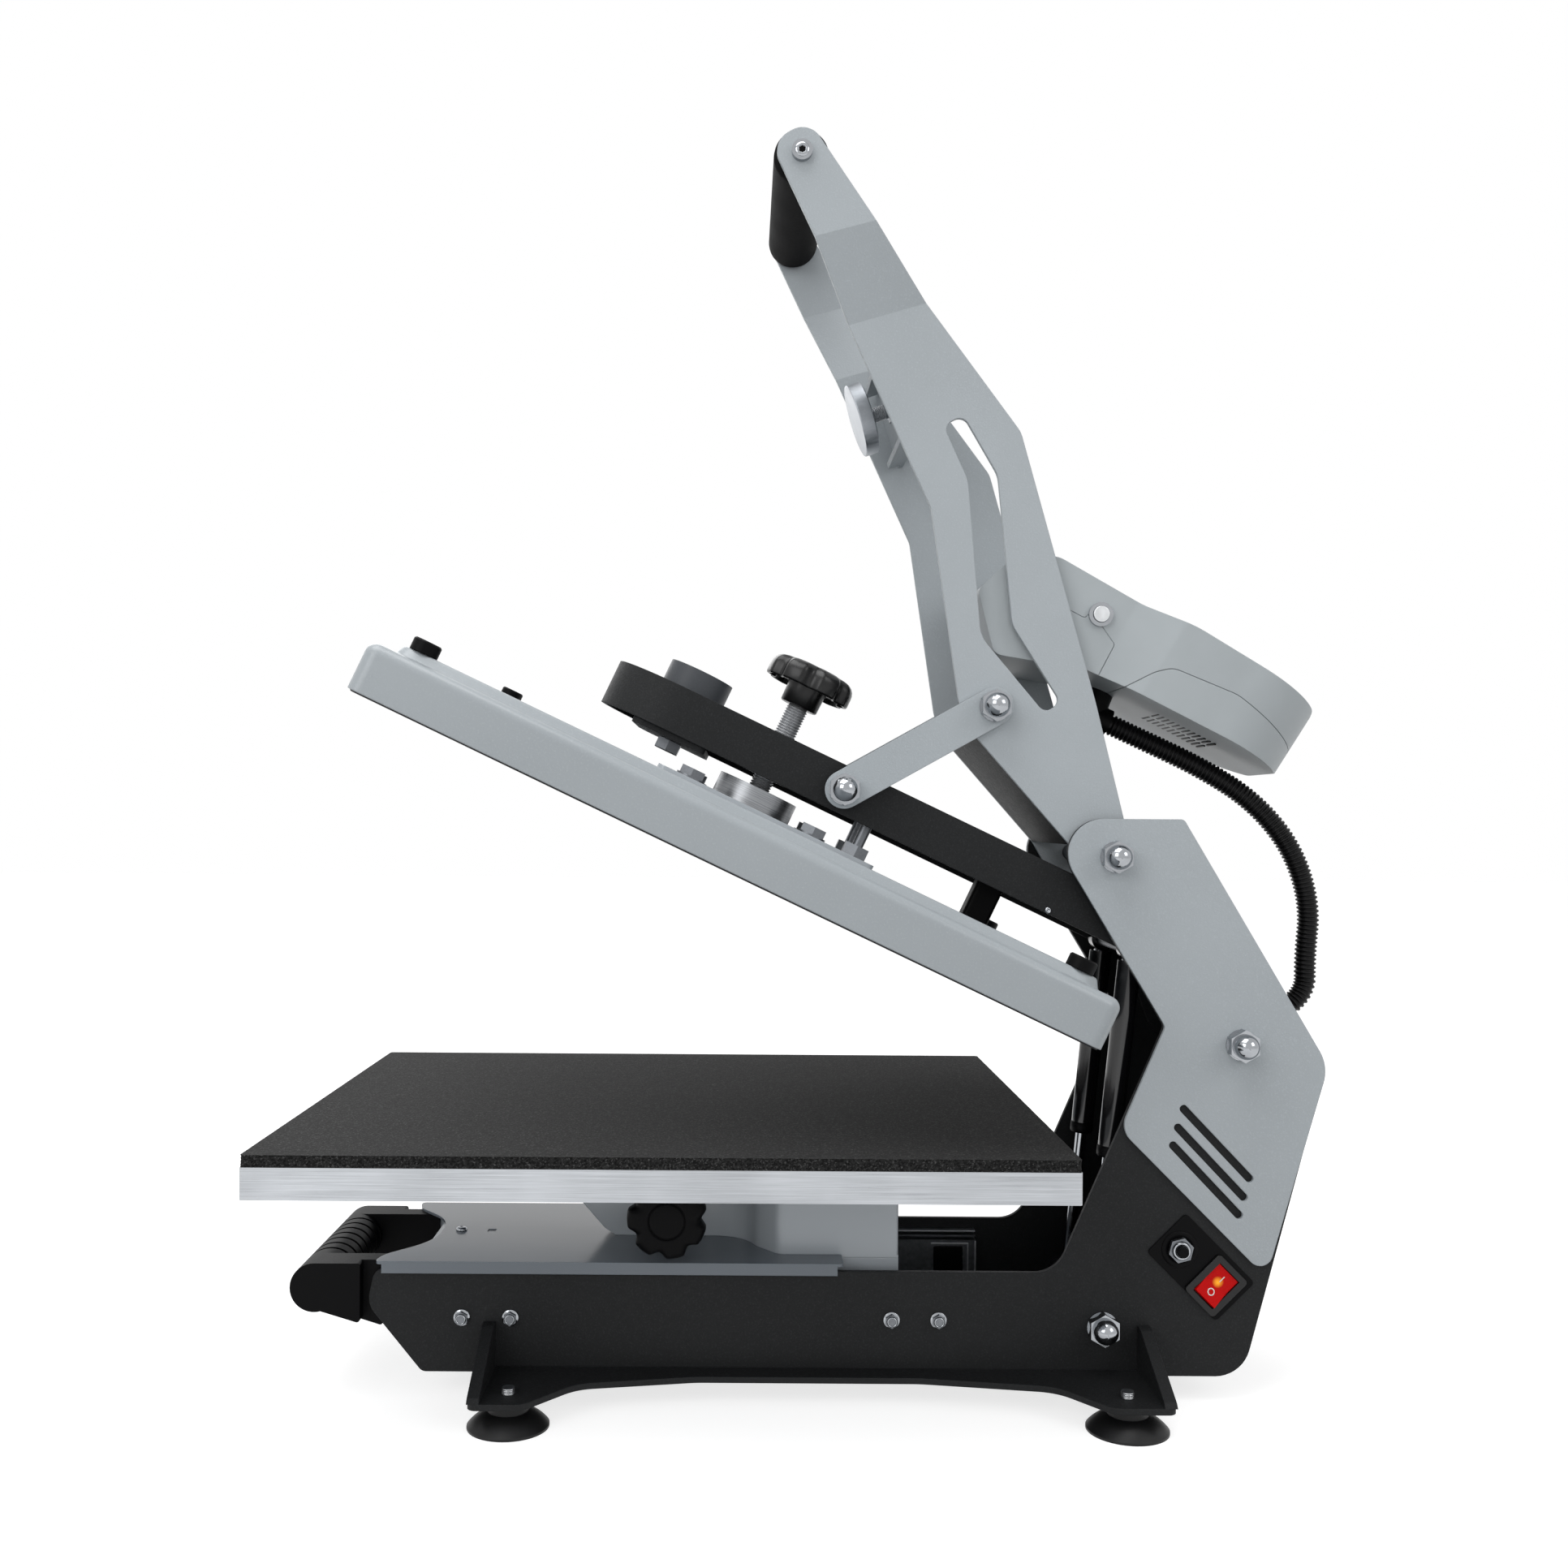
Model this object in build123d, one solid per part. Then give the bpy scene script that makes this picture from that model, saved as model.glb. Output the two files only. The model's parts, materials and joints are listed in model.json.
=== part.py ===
from build123d import *
import math
import os

# Slide-out heat press: clamshell press with a toggle handle and a drawer for the lower platen.
# Lengths are millimetres. X runs across the press, -Y is the operator's side, Z is up.
# Points are (y, z) pairs measured from a datum line near mid-depth, and every piece is
# moved at the end so that the origin is under the middle of the press, on the table.

# Platens
platen_width = 400.0
platen_depth = 500.0
lower_platen_thickness = 19.4
lower_platen_base_z = 163.2
lower_platen_centre_y = -43.2
pad_thickness = 7.4
heater_cover_height = 32.7
heater_wall = 2.0
heat_plate_thickness = 18.0
heat_plate_reveal = 1.0
rim_rounding = 7.0
plateau_inset = 12.0
plateau_height = 6.1
plateau_draft = 30.0
plateau_corner = 16.0
stiffener_half_width = 60.0
stiffener_thickness = 3.8
stiffener_reach = 82.0
ring_radius = 30.0
ring_height = 14.9
platen_bolt_offset = 38.0
platen_bolt_reach = 46.7
platen_bolt_flats = 17.0
guide_offset = 79.0
guide_radius = 4.0
guide_length = 38.0
duct_from_rear = 71.0
cap_radius = 9.0
cap_height = 8.0
cap_offset = 177.0
cap_from_end = 29.0

# Pivots, as (y, z)
handle_pivot = (255.7, 367.0)
beam_pivot = (341.0, 241.0)
link_top_pivot = (174.5, 468.3)
spring_foot_pivot = (249.3, 49.6)

# Beam, drawn level about its own pivot and then tipped up by the opening angle
opening_angle = 25.35
beam_half_width = 57.0
beam_top = 55.6
beam_height = 32.0
beam_wall = 4.0
beam_rear = 20.0
beam_ear_radius = 18.0
screw_boss_radius = 20.0
magnet_centre = -439.7
magnet_radius = 24.0
magnet_height = 17.8
magnet_bolt_radius = 5.0
link_foot_u = -315.1
link_foot_n = 39.2
screw_u = -367.0
screw_radius = 8.0
knob_hub_n = 81.7
pressure_knob_radius = 32.0
spring_head_u = -86.2
spring_head_n = 27.8
head_pin_radius = 5.0
platen_centre_u = -366.0
platen_bottom_n = -41.4

# Plates and layers across the press, as half-widths
base_inside = 69.0
base_plate_thickness = 4.0
cover_thickness = 3.0
arm_inside = 63.0
arm_thickness = 4.0
arm_top_inside = 82.0
link_thickness = 4.0
link_end_radius = 13.0
arm_to_link_gap = 0.6
spring_offset = 42.0
plate_outside = base_inside + base_plate_thickness
cover_outside = plate_outside + cover_thickness
link_inside = arm_inside + arm_thickness + arm_to_link_gap

# Base
base_bottom_z = 16.7
base_ledge_z = 85.8
base_front_y = -247.0
sheet = 2.0
upper_concave = (290.0, 252.7)
rear_foot_corner = (344.1, base_bottom_z)
rear_bend = (beam_pivot[0] + 58.9, beam_pivot[1] - 13.9)
rear_top = (handle_pivot[0] + 45.9, handle_pivot[1] + 25.6)
front_top = (handle_pivot[0] - 50.1, handle_pivot[1] + 25.6)
cover_slot_width = 5.5

# Feet
foot_front_y = -144.0
foot_rear_y = 254.0
foot_offset = 122.5
foot_radius = 26.5
foot_neck_radius = 13.0
foot_hollow = 5.0
foot_socket_z = 9.0
foot_stud_radius = 4.0
foot_stud_top = 25.0
flange_thickness = 4.0
flange_narrow = 91.0
flange_wide = 142.0
gusset_width = 8.0
gusset_height = 30.0

# Power inlet and hose gland on the sloping back
inlet_body = (27.5, 20.0)
inlet_flange = (50.0, 23.0)
inlet_height = 64.0
gland_thread_radius = 8.0
gland_height = 250.5
gland_length = 13.0

# Switch panel on the right side plate
panel_centre = (315.4, 90.5)
panel_length = 66.0
panel_width = 37.0
panel_thickness = 1.0
breaker_at = (-18.5, -1.5)
breaker_radius = 7.0
button_radius = 3.6
button_travel = 2.5
rocker_at = (15.5, -1.5)
rocker_tilt = 8.0
rocker_pivot_depth = 1.0
rocker_pin_radius = 1.5
bezel_size = (27.6, 34.0)
bezel_well = (18.4, 25.6)
bezel_rim = 2.0
bezel_depth = 14.0

# Drawer slides
rail_height = 45.7
rail_centre_z = 55.8
rail_front_y = -200.0
rail_length = 384.0
rail_wall = 1.2
rail_gap = 2.0
rail_depth = 12.7
rail_bolt_radius = 2.5
rail_bolt_z = 53.3

# Drawer
chassis_half = base_inside - rail_depth
chassis_front_y = -222.0
chassis_bottom_z = 40.0
cover_half_width = 79.0
cover_top_z = 92.5
cover_lip = 8.0
cover_front_y = -240.2
cover_rear_y = 74.1
drawer_screw_y = -196.4
pedestal_nose = 10.0
pedestal_front_y = -84.0
pedestal_flare_y = 6.0
pedestal_rear_y = 113.2
pedestal_wall = 3.0
bracket_thickness = 5.0
bracket_half_width = 80.0
drawer_grip_y = -281.9
drawer_grip_z = 73.8
drawer_grip_radius = 16.4
drawer_grip_half = 77.0
drawer_handle_half = base_inside - 1.5
handle_opening_half = 52.0
clamp_knob_y = -44.5
clamp_knob_z = 123.0
clamp_knob_radius = 27.0
clamp_knob_from_x = 66.0
knob_stud_radius = 5.0
knob_lobes = 7

# Handle
grip_y = 41.1
grip_z = 836.2
grip_radius = 19.0
grip_core_radius = 12.0
grip_bolt_radius = 4.0
joggle_top = (29.5, -50.9)
joggle_foot = (59.5, -101.9)
arm_slot_drop = 72.0
armature_radius = 26.0
armature_thickness = 10.0
armature_y = 84.3
armature_z = 678.6
armature_angle = 198.2
armature_stud_radius = 5.0
bracket_depth = 30.0
bracket_half_height = 30.0

# Controller housing, as (y, z, corner radius)
controller_outline = [
    (164.5, 549.0, 8),
    (183.0, 566.5, 10),
    (217.5, 573.5, 20),
    (279.0, 538.6, 60),
    (314.0, 523.5, 90),
    (407.0, 467.5, 5),
    (381.0, 424.0, 4),
    (266.9, 481.9, 40),
    (239.1, 494.7, 10),
    (176.0, 505.0, 8),
]
controller_top_at = (217.5, 573.5)
controller_boss_places = [(205.0, 542.0), (218.0, 515.0)]
controller_half = 58.0
controller_head_half = 64.0
controller_wall = 3.0
controller_tail = 220.0
controller_tail_radius = 60.0
seam = 0.5
under_outline = [
    (262.0, 481.0, 0),
    (284.6, 492.5, 15),
    (297.0, 495.5, 15),
    (341.0, 477.5, 30),
    (364.0, 460.0, 15),
    (390.0, 440.0, 0),
    (400.0, 400.0, 0),
    (262.0, 400.0, 0),
]
neck_seam = [(228.5, 534.9), (238.0, 530.0), (244.0, 536.0), (250.0, 524.0), (258.5, 512.0), (247.5, 491.0)]
vent_rows = (-7.0, 18.0)
vent_count = 12
vent_pitch = 3.6
vent_slot = (20.0, 1.7)
vent_start = (297.0, 465.7)
vent_slope = -0.538
push_button_at = (248.6, 532.4)
push_radius = 5.5

# Gas springs
tube_radius = 8.0
tube_end = 145.0
rod_radius = 4.0
rod_inside = 62.0
collar_gap = 0.4
foot_eye_radius = 11.0
foot_eye_clearance = 2.0

# Hose
hose_radius = 7.5
hose_bore = 5.5
hose_ribs = 50
hose_rib_depth = 1.2
hose_start = (268.0, 461.5)
elbow_length = 14.0
elbow_offset = 12.0
elbow_top_z = 497.0
hose_points = [
    hose_start,
    (294.0, 449.5),
    (336.0, 430.0),
    (374.0, 406.0),
    (402.0, 372.5),
    (415.0, 332.0),
    (411.5, 294.0),
]

# Fasteners
pivot_bolt_radius = 6.0
pivot_nut_flats = 19.0
small_nut_flats = 8.0
fit_gap = 0.3

LOW = (Align.CENTER, Align.CENTER, Align.MIN)


def corners_to_face(corners):
    """Flat face from (a, b, corner radius) corners."""
    points = [(a, b) for a, b, _ in corners]
    radii = [r for _, _, r in corners]
    return make_face(FilletPolyline(*points, radius=radii, close=True))


def slab_x(corners, x_from, x_to):
    """Plate standing across X, from (y, z, radius) corners."""
    face = Plane.YZ * corners_to_face(corners)
    return Pos(x_from, 0, 0) * extrude(face, amount=x_to - x_from, dir=(1, 0, 0))


def slab_z(corners, z_from, z_to):
    """Plate lying flat, from (x, y, radius) corners."""
    return Pos(0, 0, z_from) * extrude(corners_to_face(corners), amount=z_to - z_from, dir=(0, 0, 1))


def box(x_range, y_range, z_range):
    """Block given by its limits along each axis."""
    lows = [min(pair) for pair in (x_range, y_range, z_range)]
    sizes = [abs(pair[1] - pair[0]) for pair in (x_range, y_range, z_range)]
    return Pos(*lows) * Box(*sizes, align=(Align.MIN, Align.MIN, Align.MIN))


def bar_x(centre, radius, x_from, x_to):
    """Round bar along X about a (y, z) centre."""
    middle = (x_from + x_to) / 2
    return Pos(middle, *centre) * Rot(0, 90, 0) * Cylinder(radius, abs(x_to - x_from))


def bar_between(start, end, radius):
    """Round bar between two points."""
    axis = Vector(*end) - Vector(*start)
    return Plane(origin=start, z_dir=axis) * Cylinder(
        radius, axis.length, align=(Align.CENTER, Align.CENTER, Align.MIN)
    )


def hexagon(flats, height):
    """Hexagonal prism standing on XY."""
    return extrude(RegularPolygon(flats / 2, 6, major_radius=False), amount=height, dir=(0, 0, 1))


def acorn_nut(flats):
    """Domed cap nut standing on XY."""
    dome_radius = flats * 0.44
    base = hexagon(flats, flats * 0.5)
    neck = Pos(0, 0, flats * 0.5) * Cylinder(
        dome_radius, flats * 0.1, align=(Align.CENTER, Align.CENTER, Align.MIN)
    )
    ball = Pos(0, 0, flats * 0.6) * Sphere(dome_radius)
    washer = Cylinder(flats * 0.55, flats * 0.08, align=(Align.CENTER, Align.CENTER, Align.MIN))
    lower_half = Pos(0, 0, -flats) * Cylinder(flats, flats, align=(Align.CENTER, Align.CENTER, Align.MIN))
    return (base + neck + ball + washer) - lower_half


def on_side(piece, centre, x):
    """Stand a piece built on XY out of the +X side at a (y, z) centre."""
    return Pos(x, *centre) * Rot(0, 90, 0) * piece


def both_sides(piece):
    """The piece and its mirror image across the middle of the press."""
    return [piece, mirror(piece, about=Plane.YZ)]


def star_knob(radius, height, lobes, hub_radius, hub_height):
    """Lobed hand knob standing on XY, hub below and crown above."""
    notch = radius * 0.30
    reach = radius + notch * 0.5
    crown = Cylinder(radius, height, align=LOW)
    for index in range(lobes):
        turn = math.radians(360 * index / lobes)
        crown -= Pos(reach * math.cos(turn), reach * math.sin(turn), 0) * Cylinder(notch, height * 3)
    rims = crown.edges().group_by(Axis.Z)
    crown = fillet(rims[-1], height * 0.3)
    crown = fillet(crown.edges().group_by(Axis.Z)[0], height * 0.08)
    recess = radius * 0.45
    crown -= Pos(0, 0, height) * Cylinder(recess, height * 0.16)
    hub = Cylinder(hub_radius, hub_height, align=(Align.CENTER, Align.CENTER, Align.MAX))
    return crown + hub


def bent_strip(points, radii, thickness, x_from, x_to):
    """Sheet bent along (y, z) points, thickness on the left of the path."""
    path = FilletPolyline(*points, radius=radii)
    band = make_face(offset(path, amount=thickness, side=Side.LEFT))
    return Pos(x_from, 0, 0) * extrude(Plane.YZ * band, amount=x_to - x_from, dir=(1, 0, 0))


def tip_up(piece):
    """Carry a piece from the level beam frame to the open press."""
    return Pos(0, *beam_pivot) * Rot(-opening_angle, 0, 0) * piece


def tip_up_point(u, n):
    """A point of the level beam frame as (y, z) on the open press."""
    turn = math.radians(-opening_angle)
    y = beam_pivot[0] + u * math.cos(turn) - n * math.sin(turn)
    z = beam_pivot[1] + u * math.sin(turn) + n * math.cos(turn)
    return (y, z)


def export_all(nodes, moved_by):
    """Write one STEP file per node, moved so that the origin is under the middle."""
    os.makedirs("parts", exist_ok=True)
    for name, piece in nodes.items():
        solids = piece if isinstance(piece, list) else [piece]
        solids = [(moved_by * part).solids() for part in solids]
        solids = [solid for group in solids for solid in group]
        shape = solids[0] if len(solids) == 1 else Compound(solids)
        export_step(shape, "parts/" + name + ".step")


def base_plate_corners():
    """Outline of the black side plates."""
    return [
        (-209.8, base_bottom_z, 6),
        (base_front_y, 62, 16),
        (base_front_y + 5, base_ledge_z, 8),
        (218.1, base_ledge_z, 22),
        (*upper_concave, 5),
        (*front_top, 24),
        (*rear_top, 4),
        (*rear_bend, 27),
        (*rear_foot_corner, 24),
    ]


def cover_corners():
    """Outline of the grey side covers."""
    return [
        (*front_top, 24),
        (*rear_top, 4),
        (*rear_bend, 27),
        (358.9, 84.5, 8.5),
        (260.3, 183.1, 14),
        (*upper_concave, 5),
    ]


def side_plate():
    """Side plate of the base with its shaft, slide and switch holes."""
    plate = slab_x(base_plate_corners(), base_inside, plate_outside)
    for pivot in (handle_pivot, beam_pivot, spring_foot_pivot):
        plate -= bar_x(pivot, pivot_bolt_radius, base_inside - 1, plate_outside + 1)
    for y in rail_bolt_places():
        plate -= bar_x((y, rail_bolt_z), rail_bolt_radius, base_inside - 1, plate_outside + 1)
    return plate


def rail_bolt_places():
    """Y places of the four bolts that hold each slide."""
    return [-183.0, -150.2, 107.1, 138.8]


def panel_plane(x):
    """Plane on the right side plate, turned to line up with the sloping cover edge."""
    return Plane(origin=(x, *panel_centre), x_dir=(0, 1, -1), z_dir=(1, 0, 0))


def switch_holes(depth_from, depth_to):
    """The holes for the breaker and the rocker switch, across a range of X."""
    length = depth_to - depth_from
    breaker = Pos(*breaker_at, length / 2) * Cylinder(breaker_radius, length)
    rocker = Pos(*rocker_at, length / 2) * Box(bezel_size[0] - 3, bezel_size[1] - 3, length)
    return panel_plane(depth_from) * (breaker + rocker)


def side_cover():
    """Grey side cover with three sloping slots."""
    cover = slab_x(cover_corners(), plate_outside, cover_outside)
    for pivot in (handle_pivot, beam_pivot):
        cover -= bar_x(pivot, pivot_bolt_radius, plate_outside - 1, cover_outside + 1)
    slot_starts = [(302.6, 197.6), (298.8, 185.0), (295.6, 173.0)]
    slot_run = Vector(0, 44.5, -46.6)
    for y, z in slot_starts:
        start = Vector(0, y, z)
        middle = start + slot_run * 0.5
        plane = Plane(
            origin=(plate_outside - 1, middle.Y, middle.Z), x_dir=slot_run.normalized(), z_dir=(1, 0, 0)
        )
        slot = plane * SlotCenterToCenter(slot_run.length, cover_slot_width)
        cover -= extrude(slot, amount=cover_thickness + 2, dir=(1, 0, 0))
    return cover


def foot_flange():
    """Foot rail with its two upright gussets, under one side plate."""
    front = foot_front_y - 24
    rear = foot_rear_y + 27
    outline = [
        (plate_outside, front, 0),
        (flange_wide, front, 6),
        (flange_wide, foot_front_y + 11, 12),
        (flange_narrow + 14, foot_front_y + 42, 30),
        (flange_narrow, foot_front_y + 120, 60),
        (flange_narrow, foot_rear_y - 130, 60),
        (flange_narrow + 14, foot_rear_y - 42, 30),
        (flange_wide, foot_rear_y - 13, 12),
        (flange_wide, rear, 6),
        (plate_outside, rear, 0),
    ]
    top = base_bottom_z + flange_thickness
    rail = slab_z(outline, base_bottom_z, top)
    for y in (foot_front_y, foot_rear_y):
        rail -= Pos(foot_offset, y, base_bottom_z) * Cylinder(foot_stud_radius, 20)
    gusset = corners_to_face(
        [
            (plate_outside, top, 0),
            (flange_wide, top, 0),
            (flange_wide - 3, top + 3, 2),
            (plate_outside + 8, top + gusset_height, 10),
            (plate_outside, top + gusset_height, 0),
        ]
    )
    for y in (front, rear - gusset_width):
        rail += Pos(0, y, 0) * extrude(Plane.XZ * gusset, amount=gusset_width, dir=(0, 1, 0))
    return rail


def foot_places():
    """Where the four feet stand."""
    return [(x, y) for x in (-foot_offset, foot_offset) for y in (foot_front_y, foot_rear_y)]


def suction_foot():
    """Rubber suction foot, hollow below, with a socket for its stud."""
    profile = make_face(
        [
            Line((0, 0), (0, base_bottom_z)),
            Line((0, base_bottom_z), (foot_neck_radius, base_bottom_z)),
            Line((foot_neck_radius, base_bottom_z), (foot_neck_radius, 10.5)),
            ThreePointArc((foot_neck_radius, 10.5), (foot_radius - 5, 6.2), (foot_radius, 1.5)),
            Line((foot_radius, 1.5), (foot_radius, 0)),
            Line((foot_radius, 0), (0, 0)),
        ]
    )
    rim = foot_radius - 4
    ball_radius = (rim**2 + foot_hollow**2) / (2 * foot_hollow)
    hollow = Pos(0, 0, foot_hollow - ball_radius) * Sphere(ball_radius)
    socket = Pos(0, 0, foot_socket_z) * Cylinder(foot_stud_radius, 20, align=LOW)
    return revolve(Plane.XZ * profile, Axis.Z) - hollow - socket


def base_spine():
    """Floor and sloping back of the base, one folded sheet between the side plates."""
    slope = Vector(0, rear_bend[0] - rear_top[0], rear_bend[1] - rear_top[1]).normalized()
    spine_end = (rear_top[0] + 4 * slope.Y, rear_top[1] + 4 * slope.Z)
    path = [
        (-205.0, base_bottom_z),
        rear_foot_corner,
        rear_bend,
        spine_end,
    ]
    spine = bent_strip(path, [24, 27], sheet, -base_inside, base_inside)
    spine -= inlet_plane() * Box(inlet_body[0], inlet_body[1], 30)
    spine -= gland_plane() * Cylinder(gland_thread_radius, 30)
    return spine


def inlet_plane():
    """Plane on the outside of the lower back, looking to the rear."""
    slope = Vector(0, rear_bend[0] - rear_foot_corner[0], rear_bend[1] - rear_foot_corner[1]).normalized()
    rise = inlet_height - rear_foot_corner[1]
    y = rear_foot_corner[0] + rise * slope.Y / slope.Z
    return Plane(origin=(0, y, inlet_height), x_dir=(1, 0, 0), z_dir=(0, slope.Z, -slope.Y))


def gland_plane():
    """Plane on the outside of the upper back, where the hose comes in."""
    slope = Vector(0, rear_bend[0] - rear_top[0], rear_bend[1] - rear_top[1]).normalized()
    rise = gland_height - rear_top[1]
    y = rear_top[0] + rise * slope.Y / slope.Z
    return Plane(origin=(0, y, gland_height), x_dir=(1, 0, 0), z_dir=(0, -slope.Z, slope.Y))


def power_inlet():
    """Appliance inlet with three flat pins, no cord in it."""
    flange = Pos(0, 0, 1.5) * Box(inlet_flange[0], inlet_flange[1], 3)
    body = Pos(0, 0, -9) * Box(inlet_body[0], inlet_body[1], 18)
    well = Pos(0, 0, -4) * Box(24, 16.5, 17)
    pins = [Pos(x, y, -8) * Box(2, 4, 10) for x, y in ((-7, -2), (0, 3), (7, -2))]
    inlet = flange + body - well
    for pin in pins:
        inlet += pin
    return inlet_plane() * inlet


def hose_gland():
    """Threaded gland on the back of the base with a clamping nut."""
    thread = Pos(0, 0, -8) * Cylinder(gland_thread_radius, 16)
    body = hexagon(22, 6) + Pos(0, 0, 6) * Cylinder(10, gland_length - 6, align=LOW)
    return gland_plane() * (thread + body)


def slide_section(half_height, x_from, x_to, wall, open_side):
    """Channel section of a drawer slide as a box less its hollow."""
    front = rail_front_y
    y_range = (front, front + rail_length)
    outer = box((x_from, x_to), y_range, (rail_centre_z - half_height, rail_centre_z + half_height))
    hollow_z = (rail_centre_z - half_height + wall, rail_centre_z + half_height - wall)
    if open_side == "in":
        hollow_x = (x_from - 1, x_to - wall)
    else:
        hollow_x = (x_from + wall, x_to + 1)
    return outer - box(hollow_x, (y_range[0] - 1, y_range[1] + 1), hollow_z)


def outer_rail():
    """Outer slide member, bolted to the side plate."""
    rail = slide_section(rail_height / 2, base_inside - 9.5, base_inside, rail_wall, "in")
    for y in rail_bolt_places():
        rail -= bar_x((y, rail_bolt_z), rail_bolt_radius, base_inside - 5, base_inside + 1)
    return rail


def middle_rail():
    """Middle slide member, which runs out half as far as the drawer."""
    half = rail_height / 2 - rail_wall - rail_gap
    return slide_section(half, base_inside - 10.5, base_inside - rail_wall - 0.8, rail_wall, "in")


def inner_rail():
    """Inner slide member, screwed to the drawer."""
    half = rail_height / 2 - 2 * (rail_wall + rail_gap)
    x_from = base_inside - rail_depth
    return slide_section(half, x_from, base_inside - 2 * rail_wall - 1.6, rail_wall, "out")


def base_nodes():
    """Everything bolted to the frame."""
    right = side_plate()
    left = mirror(right, about=Plane.YZ)
    right -= switch_holes(base_inside - 1, plate_outside + 1)
    cover = side_cover()
    flange = foot_flange()
    shafts = [
        bar_x(handle_pivot, pivot_bolt_radius, -cover_outside - 9, cover_outside + 9),
        bar_x(beam_pivot, pivot_bolt_radius, -cover_outside - 9, cover_outside + 9),
        bar_x(spring_foot_pivot, pivot_bolt_radius, -plate_outside - 9, plate_outside + 9),
    ]
    nuts = []
    for centre, x in (
        (handle_pivot, cover_outside),
        (beam_pivot, cover_outside),
        (spring_foot_pivot, plate_outside),
    ):
        nut = on_side(acorn_nut(pivot_nut_flats), centre, x)
        nut -= bar_x(centre, pivot_bolt_radius, x - 1, x + 9)
        nuts += both_sides(nut)
    slide_bolts = []
    for y in rail_bolt_places():
        bolt = bar_x((y, rail_bolt_z), rail_bolt_radius, base_inside - rail_wall, plate_outside + 5)
        bolt += on_side(hexagon(small_nut_flats, 4), (y, rail_bolt_z), plate_outside)
        slide_bolts += both_sides(bolt)
    feet = [Pos(x, y, 0) * suction_foot() for x, y in foot_places()]
    studs = [
        Pos(x, y, foot_socket_z) * Cylinder(foot_stud_radius, foot_stud_top - foot_socket_z, align=LOW)
        for x, y in foot_places()
    ]
    return {
        "side_plate_right": right,
        "side_plate_left": left,
        "side_cover_right": cover,
        "side_cover_left": mirror(cover, about=Plane.YZ),
        "foot_flanges": both_sides(flange),
        "suction_feet": feet,
        "base_spine": base_spine(),
        "outer_rails": both_sides(outer_rail()),
        "pivot_shafts": shafts,
        "pivot_nuts": nuts,
        "base_fasteners": studs + slide_bolts,
        "power_inlet": power_inlet(),
        "hose_gland": hose_gland(),
    }


def switch_nodes():
    """Switch panel, circuit breaker and lit rocker switch on the right side."""
    panel = panel_plane(plate_outside) * extrude(
        fillet(Rectangle(panel_length, panel_width).vertices(), 3), amount=panel_thickness
    )
    panel -= switch_holes(plate_outside - 1, plate_outside + panel_thickness + 1)
    face = panel_plane(plate_outside + panel_thickness)
    housing = Pos(*breaker_at, -26) * Cylinder(breaker_radius - 0.01, 26, align=LOW)
    nut = Pos(*breaker_at, 0) * hexagon(15, 3.5)
    collar = Pos(*breaker_at, 3.5) * Cylinder(5.5, 1.5, align=LOW)
    button_bore = Pos(*breaker_at, -3) * Cylinder(button_radius + fit_gap, 20, align=LOW)
    breaker = face * (housing + nut + collar - button_bore)
    button = face * Pos(*breaker_at, -3 + button_travel) * Cylinder(button_radius, 10, align=LOW)
    button = fillet(button.edges().group_by(Axis.X)[-1], 0.8)
    rim = extrude(fillet(Rectangle(*bezel_size).vertices(), 3), amount=bezel_rim)
    rim = fillet(rim.edges().group_by(Axis.Z)[-1], 0.8)
    body = Pos(0, 0, -bezel_depth) * Box(bezel_size[0] - 3.01, bezel_size[1] - 3.01, bezel_depth, align=LOW)
    well = Pos(0, 0, -bezel_depth + 2) * Box(*bezel_well, 40, align=LOW)
    bore = Pos(0, 0, -rocker_pivot_depth) * Rot(0, 90, 0) * Cylinder(
        rocker_pin_radius + fit_gap, bezel_well[0] + 3.4
    )
    bezel = face * Pos(*rocker_at, 0) * (rim + body - well - bore)
    return {
        "switch_panel": panel,
        "breaker_body": breaker,
        "switch_bezel": bezel,
        "breaker_button": button,
        "rocker_switch": rocker(face),
    }


def rocker(face):
    """Two-way rocker with a shallow valley, tilted to its on side."""
    half = bezel_well[1] / 2 - 0.9
    section = Polyline(
        (-half, -3), (half, -3), (half, 3.4), (0, 1.8), (-half, 3.4), close=True
    )
    block = extrude(Plane.YZ * make_face(section), amount=bezel_well[0] - 0.8, dir=(1, 0, 0))
    block = Pos(-(bezel_well[0] - 0.8) / 2, 0, 0) * block
    block += Rot(0, 90, 0) * Cylinder(rocker_pin_radius, bezel_well[0] + 3)
    return face * Pos(*rocker_at, -rocker_pivot_depth) * Rot(-rocker_tilt, 0, 0) * block


def drawer_cover():
    """Glossy cover plate over the drawer, with side lips and a finger cut-out."""
    half = cover_half_width
    finger_y = cover_front_y + 30
    outline = [
        (-half, cover_front_y, 3),
        (-half + 14, cover_front_y, 30),
        (-28, finger_y, 60),
        (28, finger_y, 60),
        (half - 14, cover_front_y, 30),
        (half, cover_front_y, 3),
        (half, cover_rear_y, 3),
        (-half, cover_rear_y, 3),
    ]
    plate = slab_z(outline, cover_top_z - sheet, cover_top_z)
    for side in (-1, 1):
        x = side * (half - sheet / 2)
        lip = box(
            (x - sheet / 2, x + sheet / 2),
            (cover_front_y + 4, cover_rear_y - 4),
            (cover_top_z - cover_lip, cover_top_z - sheet / 2),
        )
        plate += lip
    plate -= Pos(0, drawer_screw_y, cover_top_z - 5) * Cylinder(2.0, 20)
    plate -= Pos(0, drawer_screw_y + 22, cover_top_z - 5) * Box(7, 6, 20)
    return plate


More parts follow.
